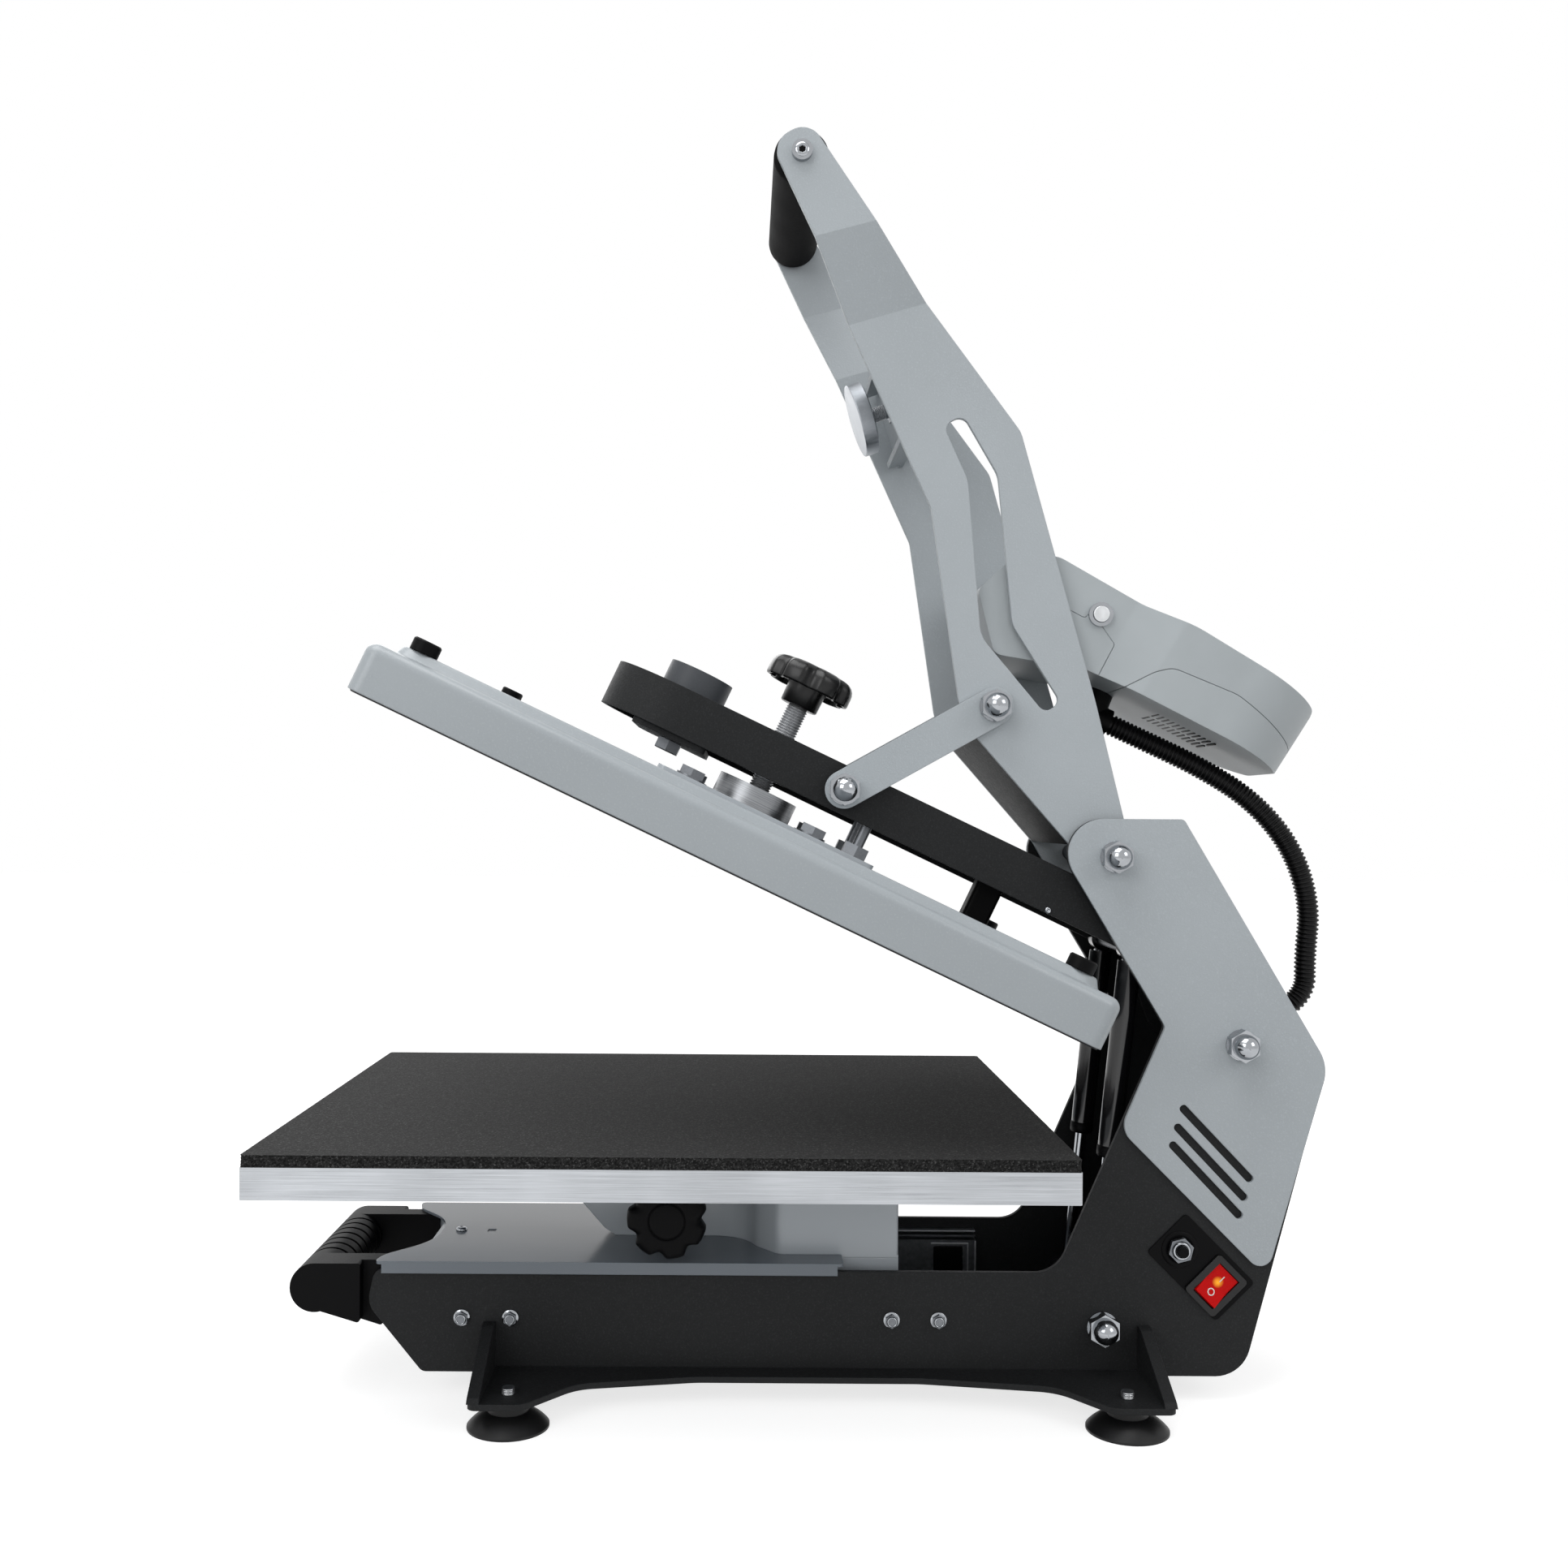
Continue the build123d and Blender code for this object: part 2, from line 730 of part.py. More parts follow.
def drawer_chassis():
    """Folded sheet that carries the drawer between its slides."""
    top = cover_top_z - sheet
    y_range = (chassis_front_y, pedestal_rear_y)
    outer = box((-chassis_half, chassis_half), y_range, (chassis_bottom_z, top))
    inner_x = chassis_half - sheet
    below = chassis_bottom_z - 1
    hollow = box((-inner_x, inner_x), (y_range[0] + 10, y_range[1] - sheet), (below, top - sheet))
    mouth = box((-inner_x, inner_x), (y_range[0] - 1, y_range[0] + 8), (below, top + 1))
    chassis = outer - hollow - mouth
    chassis -= Pos(0, drawer_screw_y, top - 5) * Cylinder(2.0, 20)
    return chassis


def pedestal_outline(grown_by):
    """Plan of the pedestal: a narrow nose that flares to the width of the chassis."""
    nose = pedestal_nose + grown_by
    half = chassis_half + grown_by
    front = pedestal_front_y - grown_by
    rear = pedestal_rear_y + grown_by
    flare = pedestal_flare_y
    return [
        (-nose, front, 0),
        (nose, front, 0),
        (nose, flare, 30),
        (nose + 26, flare + 10, 20),
        (half, flare + 25, 10),
        (half, rear, 2),
        (-half, rear, 2),
        (-half, flare + 25, 10),
        (-nose - 26, flare + 10, 20),
        (-nose, flare, 30),
    ]


def pedestal():
    """Sheet pedestal under the lower platen, with a slanted nose and the knob's bore."""
    top = lower_platen_base_z - bracket_thickness
    shell = slab_z(pedestal_outline(0), cover_top_z, top)
    shell -= slab_z(pedestal_outline(-pedestal_wall), cover_top_z - 1, top - pedestal_wall)
    skirt_z = (cover_top_z - sheet, cover_top_z)
    skirt = box((-chassis_half, chassis_half), (cover_rear_y, pedestal_rear_y), skirt_z)
    skirt -= box(
        (-chassis_half + pedestal_wall, chassis_half - pedestal_wall),
        (cover_rear_y - 1, pedestal_rear_y - pedestal_wall),
        (cover_top_z - sheet - 1, cover_top_z + 1),
    )
    nose = slab_x(
        [
            (pedestal_front_y, cover_top_z, 0),
            (pedestal_front_y - 8, cover_top_z + 5, 6),
            (pedestal_front_y - 28, cover_top_z + 27.5, 10),
            (pedestal_front_y - 56, top, 0),
            (pedestal_front_y + 64, top, 0),
            (pedestal_front_y + 64, cover_top_z, 0),
        ],
        -pedestal_nose,
        pedestal_nose,
    )
    part = shell + skirt + nose
    return part - bar_x((clamp_knob_y, clamp_knob_z), knob_stud_radius + fit_gap, 1, pedestal_nose + 1)


def grip_grooves(centre_y, centre_z, radius, half_length, count):
    """Slanted finger grooves round a grip bar along X."""
    cuts = []
    pitch = 2 * half_length / count
    for index in range(count):
        x = -half_length + pitch * (index + 0.5)
        ring = Cylinder(radius + 4, 3) - Cylinder(radius - 1.3, 3)
        cuts.append(Pos(x, centre_y, centre_z) * Rot(0, 0, 22) * Rot(0, 90, 0) * ring)
    return cuts


def drawer_handle():
    """Moulded pull of the drawer: grooved bar held by two cheeks."""
    y, z = drawer_grip_y, drawer_grip_z
    radius = drawer_grip_radius
    bar = bar_x((y, z), radius, -drawer_grip_half, drawer_grip_half)
    for cut in grip_grooves(y, z, radius, 46, 7):
        bar -= cut
    cheek_corners = [
        (y, z + radius, 0),
        (chassis_front_y, z + radius, 2),
        (chassis_front_y, 54, 2),
        (-237.4, 50, 0),
        (-237.4, 45.5, 2),
        (y + 4.1, z - radius + 0.6, 0),
    ]
    cheek = slab_x(cheek_corners, handle_opening_half, drawer_handle_half)
    wing = slab_x(
        [
            (y, z + radius, 0),
            (base_front_y - 4, z + radius, 2),
            (base_front_y - 4, 50.0, 2),
            (y + 4.1, z - radius + 0.6, 0),
        ],
        drawer_handle_half - 1,
        drawer_grip_half,
    )
    part = bar
    for piece in both_sides(cheek) + both_sides(wing):
        part += piece
    return part


def clamp_knob():
    """Star knob with its stud, which clamps the lower platen to the pedestal."""
    crown_x = clamp_knob_from_x + 8
    knob = on_side(
        star_knob(clamp_knob_radius, 16, knob_lobes, 12, 8), (clamp_knob_y, clamp_knob_z), crown_x
    )
    return knob + bar_x((clamp_knob_y, clamp_knob_z), knob_stud_radius, 2, crown_x)


def drawer_nodes():
    """Everything that slides out to the operator."""
    half = platen_width / 2
    centre_y = lower_platen_centre_y
    y_range = (centre_y - platen_depth / 2, centre_y + platen_depth / 2)
    plate_top = lower_platen_base_z + lower_platen_thickness
    bracket = box(
        (-bracket_half_width, bracket_half_width),
        (centre_y - 95, centre_y + 145),
        (lower_platen_base_z - bracket_thickness, lower_platen_base_z),
    )
    plate = box((-half, half), y_range, (lower_platen_base_z, plate_top))
    plate = chamfer(plate.edges().filter_by(Axis.Z), 1.0)
    pad = box((-half, half), y_range, (plate_top, plate_top + pad_thickness))
    return {
        "drawer_cover": drawer_cover(),
        "drawer_chassis": drawer_chassis(),
        "pedestal": pedestal(),
        "platen_bracket": bracket,
        "drawer_handle": drawer_handle(),
        "inner_rails": both_sides(inner_rail()),
        "lower_platen": plate,
        "silicone_pad": pad,
        "middle_rails": both_sides(middle_rail()),
        "clamp_knob": clamp_knob(),
    }


def from_grip(step):
    """A (y, z) point a step away from the grip bar."""
    return (grip_y + step[0], grip_z + step[1])


def arm_lines():
    """The two bend lines of the joggle, upper set further out than the lower."""
    top = from_grip(joggle_top)
    foot = from_grip(joggle_foot)
    upper_bend = [(top[0] - 20.3, top[1] - 5.4), (top[0] + 20.3, top[1] + 5.4)]
    lower_bend = [(foot[0] - 26.2, foot[1] - 7.7), (foot[0] + 26.2, foot[1] + 7.7)]
    return upper_bend, lower_bend


def arm():
    """Right handle arm: a lower plate, a joggle and an upper plate set further out."""
    hy, hz = handle_pivot
    ly, lz = link_top_pivot
    upper_bend, lower_bend = arm_lines()
    outside = arm_inside + arm_thickness
    lower = [
        (*lower_bend[0], 0),
        (lower_bend[0][0] + 56.8, lower_bend[0][1] - 124.0, 12),
        (ly - 23.5, lz + 1.5, 25),
        (ly - 11.4, lz - 21.1, 20),
        (hy - 29.2, hz + 8.0, 10),
        (hy - 11, hz - 24, 14),
        (hy + 18, hz - 22, 14),
        (hy + 7.7, hz + 25.1, 10),
        (hy - 12.1, hz + 105.0, 0),
        (lower_bend[1][0] + 65.0, lower_bend[1][1] - 87.1, 19),
        (*lower_bend[1], 0),
    ]
    plate = slab_x(lower, arm_inside, outside)
    plate -= slab_x(arm_slot_corners(lower_bend), arm_inside - 1, outside + 1)
    plate -= bar_x(handle_pivot, pivot_bolt_radius + fit_gap, arm_inside - 1, outside + 1)
    plate -= bar_x(link_top_pivot, pivot_bolt_radius, arm_inside - 1, outside + 1)
    upper = [
        (*upper_bend[0], 0),
        (*upper_bend[1], 0),
        (grip_y + 4.5, grip_z + 20.9, 14),
        (grip_y - 20.8, grip_z + 6.3, 14),
    ]
    top_plate = slab_x(upper, arm_top_inside, arm_top_inside + arm_thickness)
    top_plate -= bar_x(
        (grip_y, grip_z), grip_bolt_radius, arm_top_inside - 2, arm_top_inside + arm_thickness + 4
    )
    joggle = loft([bend_face(lower_bend, arm_inside), bend_face(upper_bend, arm_top_inside)], ruled=True)
    return plate + joggle + top_plate


def arm_slot_corners(lower_bend):
    """Outline of the long curved slot in the lower plate of an arm."""
    hy, hz = handle_pivot
    top_y = (lower_bend[0][0] + lower_bend[1][0]) / 2 + 45.2
    top_z = (lower_bend[0][1] + lower_bend[1][1]) / 2 - arm_slot_drop
    foot_y = hy - 41.1
    foot_z = hz + 100.7
    middle_z = foot_z + 0.268 * (top_z - foot_z)
    return [
        (top_y - 6.8, top_z - 3.3, 7),
        (top_y + 6.7, top_z + 4.2, 7),
        (top_y + 30.6, top_z - 36.6, 20),
        (top_y + 41.0, middle_z + 4.0, 20),
        (foot_y + 5.8, foot_z + 3.4, 6.2),
        (foot_y - 5.8, foot_z - 3.4, 6.2),
        (top_y + 19.5, middle_z - 3.8, 22),
        (top_y + 10.2, top_z - 40.4, 22),
    ]


def bend_face(line, x):
    """Cross-section of the arm sheet along one bend line."""
    (y0, z0), (y1, z1) = line
    outer = x + arm_thickness
    return make_face(Polyline((x, y0, z0), (outer, y0, z0), (outer, y1, z1), (x, y1, z1), close=True))


def handle_channel():
    """Black channel that ties the arms together between the links and the main shaft."""
    ly, lz = link_top_pivot
    hy, hz = handle_pivot
    outline = [
        (ly - 11.4, lz - 21.1, 0),
        (hy - 29.2, hz + 8.0, 0),
        (hy - 19.7, hz + 16.5, 4),
        (ly + 1.5, lz - 13.3, 4),
    ]
    channel = slab_x(outline, -arm_inside, arm_inside)
    inner = [
        (ly - 7.5, lz - 21.1, 0),
        (hy - 29.0, hz + 12.3, 0),
        (hy - 15.7, hz + 24.0, 0),
        (ly + 6.5, lz - 8.3, 0),
    ]
    return channel - slab_x(inner, -arm_inside + 3, arm_inside - 3)


def armature_frame(depth=0.0):
    """Plane on the armature's axis, its Z pointing away from the magnet side."""
    turn = math.radians(armature_angle - 180)
    away = Vector(0, math.cos(turn), math.sin(turn))
    origin = Vector(0, armature_y, armature_z) + away * depth
    return Plane(origin=origin, x_dir=(1, 0, 0), z_dir=away)


def armature():
    """Steel disc that the magnet holds, on its threaded stud."""
    disc = Cylinder(armature_radius, armature_thickness, align=LOW)
    disc = fillet(disc.edges(), 0.8)
    stud = Cylinder(armature_stud_radius, bracket_depth + 14, align=LOW)
    nut_front = Pos(0, 0, bracket_depth - 6) * hexagon(16, 6)
    nut_rear = Pos(0, 0, bracket_depth + 4) * hexagon(16, 6)
    return armature_frame() * (disc + stud + nut_front + nut_rear)


def armature_bracket():
    """Folded bracket between the arms that carries the armature's stud."""
    width = 2 * arm_inside
    plate = Box(width, 2 * bracket_half_height, 4, align=LOW)
    lips = [
        Pos(0, side * (bracket_half_height - 2), -9) * Box(width - 20, 4, 9, align=LOW) for side in (-1, 1)
    ]
    ears = [
        Pos(side * (arm_inside - 1.5), 0, 4) * Box(3, 2 * bracket_half_height - 12, 20, align=LOW)
        for side in (-1, 1)
    ]
    bracket = plate - Cylinder(armature_stud_radius, 20)
    for piece in lips + ears:
        bracket += piece
    return armature_frame(bracket_depth) * bracket


def link_pin():
    """Stud through the arm that carries a link, with its domed nut."""
    nut_x = link_inside + link_thickness + 0.4
    pin = bar_x(link_top_pivot, pivot_bolt_radius, arm_inside - 3, nut_x + 9)
    head = bar_x(link_top_pivot, pivot_bolt_radius + 3, arm_inside - 5, arm_inside)
    return pin + head + on_side(acorn_nut(pivot_nut_flats), link_top_pivot, nut_x)


def link():
    """Flat link from the arm to the beam."""
    top = Vector(0, *link_top_pivot)
    foot = Vector(0, *tip_up_point(link_foot_u, link_foot_n))
    middle = (top + foot) * 0.5
    length = (top - foot).length
    plane = Plane(origin=(link_inside, middle.Y, middle.Z), x_dir=(top - foot).normalized(), z_dir=(1, 0, 0))
    outline = plane * SlotCenterToCenter(length, 2 * link_end_radius)
    bar = extrude(outline, amount=link_thickness, dir=(1, 0, 0))
    for centre in (top, foot):
        reach = pivot_bolt_radius + (fit_gap if centre is top else 0)
        bar -= bar_x((centre.Y, centre.Z), reach, link_inside - 1, link_inside + link_thickness + 1)
    return bar


def link_nut():
    """Bolt and domed nut at the lower end of a link."""
    foot = tip_up_point(link_foot_u, link_foot_n)
    outside = link_inside + link_thickness
    bolt = bar_x(foot, pivot_bolt_radius, link_inside, outside + 9)
    return bolt + on_side(acorn_nut(pivot_nut_flats), foot, outside)


def controller_body(inset):
    """Controller housing volume, drawn in by a wall thickness."""
    side = corners_to_face(controller_outline)
    if inset:
        side = offset(side, -inset)
    reach = controller_head_half
    prism = Pos(-reach, 0, 0) * extrude(Plane.YZ * side, amount=2 * reach, dir=(1, 0, 0))
    return prism & controller_plan(inset)


def controller_plane():
    """Plane over the controller, Y running down its back."""
    return Plane(origin=(0, *controller_top_at), x_dir=(1, 0, 0), z_dir=(0, 0.532, 0.847))


def controller_plan(inset):
    """Plan of the housing: a neck between the arms and a rounded head behind them."""
    neck = controller_half - inset
    head = controller_head_half - inset
    tail = controller_tail - inset
    round_tail = controller_tail_radius - inset
    plan = corners_to_face(
        [
            (-neck, -90, 0),
            (neck, -90, 0),
            (neck, 66, 20),
            (head, 100, 20),
            (head, tail, round_tail),
            (-head, tail, round_tail),
            (-head, 100, 20),
            (-neck, 66, 20),
        ]
    )
    return controller_plane() * (Pos(0, 0, -250) * extrude(plan, amount=400, dir=(0, 0, 1)))


def neck_groove():
    """Fine seam across the flank of the neck, round the push button."""
    line = FilletPolyline(*neck_seam, radius=2.5)
    band = make_face(offset(line, amount=seam / 2))
    return Pos(controller_half - seam, 0, 0) * extrude(Plane.YZ * band, amount=4, dir=(1, 0, 0))


def controller_vents():
    """Rows of narrow slots through the underside of the head."""
    slots = []
    for x in vent_rows:
        for index in range(vent_count):
            y = vent_start[0] + vent_pitch * index
            z = vent_start[1] + vent_slope * vent_pitch * index
            slot = extrude(SlotOverall(vent_slot[0], vent_slot[1]), amount=12, both=True)
            slots.append(Pos(x, y, z) * Rot(math.degrees(math.atan(vent_slope)), 0, 0) * slot)
    return slots


def controller_nodes():
    """Two shells, the display glass and the push button of the controller."""
    outer = controller_body(0)
    inner = controller_body(controller_wall)
    skin = outer - inner
    under_face = corners_to_face(under_outline)
    reach = controller_head_half + 1
    under = Pos(-reach, 0, 0) * extrude(Plane.YZ * under_face, amount=2 * reach, dir=(1, 0, 0))
    grown = Pos(-reach, 0, 0) * extrude(Plane.YZ * offset(under_face, seam), amount=2 * reach, dir=(1, 0, 0))
    groove = (grown - under) - controller_body(2 * seam)
    glass_prism = controller_plane() * (Pos(0, 160, -60) * Box(84, 62, 90, align=LOW))
    glass = (skin & glass_prism) - under
    glass = glass.solids().sort_by(Axis.Z)[-1]
    upper = skin - under - groove - glass_prism.intersect(glass)
    for place in controller_boss_places:
        for boss in both_sides(bar_x(place, 6, controller_half - 1, arm_inside)):
            upper += boss
    upper -= bar_x(push_button_at, 6.2, controller_half - 4, controller_half + 2)
    ring = bar_x(push_button_at, 8.3, controller_half, controller_half + 3)
    sleeve = bar_x(push_button_at, 6.19, controller_half - 6, controller_half)
    button_bore = bar_x(push_button_at, push_radius + 0.25, controller_half - 7, controller_half + 4)
    ring = ring + sleeve - button_bore
    button = bar_x(push_button_at, push_radius, controller_half - 4, controller_half + 4.5)
    button = fillet(button.edges().group_by(Axis.X)[-1], 0.6)
    upper -= neck_groove()
    lower = skin & under
    for slot in controller_vents():
        lower -= slot
    return {
        "controller_upper_shell": upper,
        "controller_lower_shell": lower,
        "controller_display": glass,
        "push_button_ring": ring,
        "push_button": button,
    }


def beam_channel():
    """Main beam: a channel open below, rounded in front, with ears down to its pivot."""
    rear = beam_rear
    floor = -beam_ear_radius - 2
    length = rear - magnet_centre
    plan = Pos(0, rear - length / 2) * Rectangle(2 * beam_half_width, length)
    plan += Pos(0, magnet_centre) * Circle(beam_half_width)
    block = Pos(0, 0, floor) * extrude(plan, amount=beam_top - floor, dir=(0, 0, 1))
    inner_half = beam_half_width - beam_wall
    hollow = Pos(0, rear - length / 2) * Rectangle(2 * inner_half, length + 2)
    hollow += Pos(0, magnet_centre) * Circle(inner_half)
    block -= Pos(0, 0, floor - 1) * extrude(hollow, amount=beam_top - beam_wall - floor + 1, dir=(0, 0, 1))
    side = slab_x(
        [
            (magnet_centre - beam_half_width - 1, beam_top + 1, 0),
            (-24, beam_top + 1, 12),
            (beam_rear - 2, 6, 14),
            (beam_rear - 4, -beam_ear_radius, 14),
            (-beam_rear, -beam_ear_radius, 14),
            (-62, beam_top - beam_height, 12),
            (magnet_centre - beam_half_width - 1, beam_top - beam_height, 0),
        ],
        -beam_half_width,
        beam_half_width,
    )
    beam = block & side
    beam += bar_x((0, 0), pivot_bolt_radius + 4, -beam_half_width, beam_half_width)
    beam += Pos(0, screw_u, beam_top - beam_height + 2) * Cylinder(
        screw_boss_radius, beam_height - 4, align=LOW
    )
    beam -= bar_x((0, 0), pivot_bolt_radius + fit_gap, -100, 100)
    beam -= Pos(0, screw_u, 0) * Cylinder(screw_radius + fit_gap, 100, align=LOW)
    beam -= bar_x((spring_head_u, spring_head_n), head_pin_radius, -100, 100)
    beam -= Pos(0, magnet_centre, 0) * Cylinder(magnet_bolt_radius, 100, align=LOW)
    return beam


def beam_nodes():
    """The beam and everything fixed to it, in the level beam frame."""
    magnet = Pos(0, magnet_centre, beam_top) * Cylinder(magnet_radius, magnet_height, align=LOW)
    groove = Cylinder(15, 4) - Cylinder(11, 4)
    magnet -= Pos(0, magnet_centre, beam_top + magnet_height) * groove
    plate_top = beam_top - beam_height
    clamp = slab_z(
        [
            (-50, magnet_centre - 22, 4),
            (-40, magnet_centre - 28, 4),
            (40, magnet_centre - 28, 4),
            (50, magnet_centre - 22, 4),
            (54, magnet_centre + 28, 4),
            (-54, magnet_centre + 28, 4),
        ],
        plate_top - 4,
        plate_top,
    )
    clamp -= Pos(0, magnet_centre, 0) * Cylinder(magnet_bolt_radius, 100, align=LOW)
    bolt = Pos(0, magnet_centre, plate_top - 4) * Cylinder(
        magnet_bolt_radius, beam_height + 4, align=LOW
    )
    bolt += Pos(0, magnet_centre, plate_top - 12) * hexagon(17, 8)
    spacer_end = link_inside - 0.5
    spacer = bar_x((link_foot_u, link_foot_n), 10, beam_half_width, spacer_end)
    pin_reach = beam_half_width + 2
    head_pin = bar_x((spring_head_u, spring_head_n), head_pin_radius, -pin_reach, pin_reach)
    return {
        "beam_channel": beam_channel(),
        "electromagnet": magnet,
        "magnet_clamp": [clamp, bolt],
        "beam_pins": both_sides(spacer) + [head_pin],
    }


def cover_rim(inset, bottom, top):
    """Lower step of the heated platen's cover, drawn in by a wall thickness."""
    rim = extrude(Rectangle(platen_width - 2 * inset, platen_depth - 2 * inset), amount=top - bottom)
    rim = fillet(rim.edges().filter_by(Axis.Z), 10 - inset)
    return Pos(0, 0, bottom) * fillet(rim.edges().group_by(Axis.Z)[-1], rim_rounding - inset)


def cover_plateau(inset, bottom, top):
    """Raised field of the cover, with drafted sides and a soft edge."""
    across = platen_width - 2 * plateau_inset - 2 * inset
    along = platen_depth - 2 * plateau_inset - 2 * inset
    outline = RectangleRounded(across, along, plateau_corner - inset)
    field = extrude(outline, amount=top - bottom, taper=plateau_draft)
    return Pos(0, 0, bottom) * fillet(field.edges().group_by(Axis.Z)[-1], 3.0 - inset)


def heater_cover():
    """Stepped cover of the heated platen, open below."""
    bottom = platen_bottom_n + heat_plate_reveal
    shoulder = platen_bottom_n + heater_cover_height
    top = shoulder + plateau_height
    outer = cover_rim(0, bottom, shoulder) + cover_plateau(0, shoulder - 1, top)
    inner = cover_rim(heater_wall, bottom, shoulder - heater_wall)
    inner += cover_plateau(heater_wall, shoulder - heater_wall - 1, top - heater_wall)
    inner += Pos(0, 0, bottom - 1) * Box(
        platen_width - 2 * heater_wall, platen_depth - 2 * heater_wall, heat_plate_thickness, align=LOW
    )
    return Pos(0, platen_centre_u, 0) * (outer - inner)


def platen_nodes():
    """The heated platen and what stands on it, in the level beam frame."""
    inner_width = platen_width - 2 * heater_wall
    inner_depth = platen_depth - 2 * heater_wall
    plate = Pos(0, platen_centre_u, platen_bottom_n) * Box(
        inner_width, inner_depth, heat_plate_thickness, align=LOW
    )
    plateau = platen_bottom_n + heater_cover_height + plateau_height
    stiffener_top = plateau + stiffener_thickness
    stiffener = slab_z(
        [
            (-stiffener_half_width, screw_u - stiffener_reach + 12, 6),
            (stiffener_half_width, screw_u - stiffener_reach + 12, 6),
            (stiffener_half_width, screw_u + stiffener_reach + 12, 6),
            (-stiffener_half_width, screw_u + stiffener_reach + 12, 6),
        ],
        plateau,
        stiffener_top,
    )
    ring = Pos(0, screw_u, stiffener_top) * Cylinder(ring_radius, ring_height, align=LOW)
    ring -= Pos(0, screw_u, stiffener_top + 3) * Cylinder(screw_radius + fit_gap, 30, align=LOW)
    bolts = []
    for u in (screw_u - platen_bolt_reach, screw_u + platen_bolt_reach):
        for x in (-platen_bolt_offset, platen_bolt_offset):
            bolt = Pos(x, u, stiffener_top) * hexagon(platen_bolt_flats, 7)
            bolt += Pos(x, u, stiffener_top) * Cylinder(platen_bolt_flats * 0.62, 1.5, align=LOW)
            bolts.append(bolt)
    guides = []
    for x in (-platen_bolt_offset, platen_bolt_offset):
        spot = Pos(x, screw_u + guide_offset, stiffener_top)
        guide = spot * Cylinder(guide_radius, guide_length, align=LOW)
        guide += spot * hexagon(platen_bolt_flats, 8)
        guides.append(guide)
    platen_rear_u = platen_centre_u + platen_depth / 2
    duct = Pos(0, platen_rear_u - duct_from_rear, plateau) * Box(20, 20, 30, align=LOW)
    duct = fillet(duct.edges().filter_by(Axis.Z), 4)
    caps = []
    for side in (-1, 1):
        for end in (-1, 1):
            u = platen_centre_u + end * (platen_depth / 2 - cap_from_end)
            cap = Pos(side * cap_offset, u, plateau) * Cylinder(cap_radius, cap_height, align=LOW)
            caps.append(chamfer(cap.edges().group_by(Axis.Z)[-1], 1))
    return {
        "heater_cover": heater_cover(),
        "heat_plate": plate,
        "stiffener_plate": stiffener,
        "thrust_ring": ring,
        "platen_bolts": bolts + guides,
        "cable_duct": duct,
        "cover_caps": caps,
    }


def pressure_nodes():
    """Pressure screw and its star knob, in the level beam frame."""
    bottom = platen_bottom_n + heater_cover_height + plateau_height + stiffener_thickness + 3.3
    screw = Pos(0, screw_u, bottom) * Cylinder(screw_radius, knob_hub_n - bottom, align=LOW)
    knob = Pos(0, screw_u, knob_hub_n + 13) * star_knob(
        pressure_knob_radius, 18, knob_lobes, 14, 13
    )
    return {"pressure_screw": screw, "pressure_knob": knob}


def spring_axis():
    """Points (y, z) of the two ends of each gas spring on the open press."""
    return tip_up_point(spring_head_u, spring_head_n), spring_foot_pivot


def gas_tube():
    """Upper part of a gas spring: eye, pressure tube and end collar."""
    head, foot = [Vector(spring_offset, *point) for point in spring_axis()]
    along = (foot - head).normalized()
    tube = bar_between(head + along * 9, head + along * tube_end, tube_radius)
    tube -= bar_between(head + along * 22, head + along * (tube_end - 8), tube_radius - 1.5)
    tube -= bar_between(head + along * 22, head + along * (tube_end + 1), rod_radius + collar_gap)
    eye = bar_x((head.Y, head.Z), 9, spring_offset - 6, spring_offset + 6)
    eye -= bar_x((head.Y, head.Z), head_pin_radius + fit_gap, 0, 90)
    neck = bar_between(head + along * 8, head + along * 12, 5)
    return tube + eye + neck


def gas_rod():
    """Lower part of a gas spring: piston, rod and the eye round the lower shaft."""
    head, foot = [Vector(spring_offset, *point) for point in spring_axis()]
    along = (foot - head).normalized()
    rod = bar_between(head + along * (tube_end - rod_inside), foot - along * 9, rod_radius)
    piston = bar_between(
        head + along * (tube_end - rod_inside), head + along * (tube_end - rod_inside + 8), tube_radius - 1.9
    )
    eye = bar_x((foot.Y, foot.Z), foot_eye_radius, spring_offset - 6, spring_offset + 6)
    eye -= bar_x((foot.Y, foot.Z), pivot_bolt_radius + foot_eye_clearance, 0, 90)
    return rod + piston + eye


def hose_route():
    """Hose centreline in the YZ plane, and the radii of its bends."""
    gland = gland_plane()
    tip = gland.origin + gland.z_dir * gland_length
    turn_in = tip + gland.z_dir * 17
    points = [Vector(0, y, z) for y, z in hose_points] + [turn_in, tip]
    radii = []
    for before, here, after in zip(points, points[1:], points[2:]):
        run_in = here - before
        run_out = after - here
        half_turn = math.radians(run_in.get_angle(run_out) / 2)
        radii.append(0.45 * min(run_in.length, run_out.length) / math.tan(half_turn))
    return points, radii


def hose():
    """Corrugated hose with its bore, as one ruled loft through four circles a rib."""
    points, radii = hose_route()
    print("hose radii", [round(radius, 1) for radius in radii])
    path = Wire(FilletPolyline(*points, radius=radii).edges())
    length = path.length
    end = 2 * hose_radius
    pitch = (length - 2 * end) / hose_ribs
    valley = hose_radius - hose_rib_depth
    stations = [(0.0, valley)]
    for index in range(hose_ribs):
        start = end + index * pitch
        stations += [
            (start + 0.08 * pitch, valley),
            (start + 0.30 * pitch, hose_radius),
            (start + 0.70 * pitch, hose_radius),
            (start + 0.92 * pitch, valley),
        ]
    stations.append((length, valley))
    outer = ring_loft(path, length, stations)
    inside = [(distance, hose_bore) for distance, _ in stations[::4]] + [(length, hose_bore)]
    bore = ring_loft(path, length, inside)
    return outer - bore


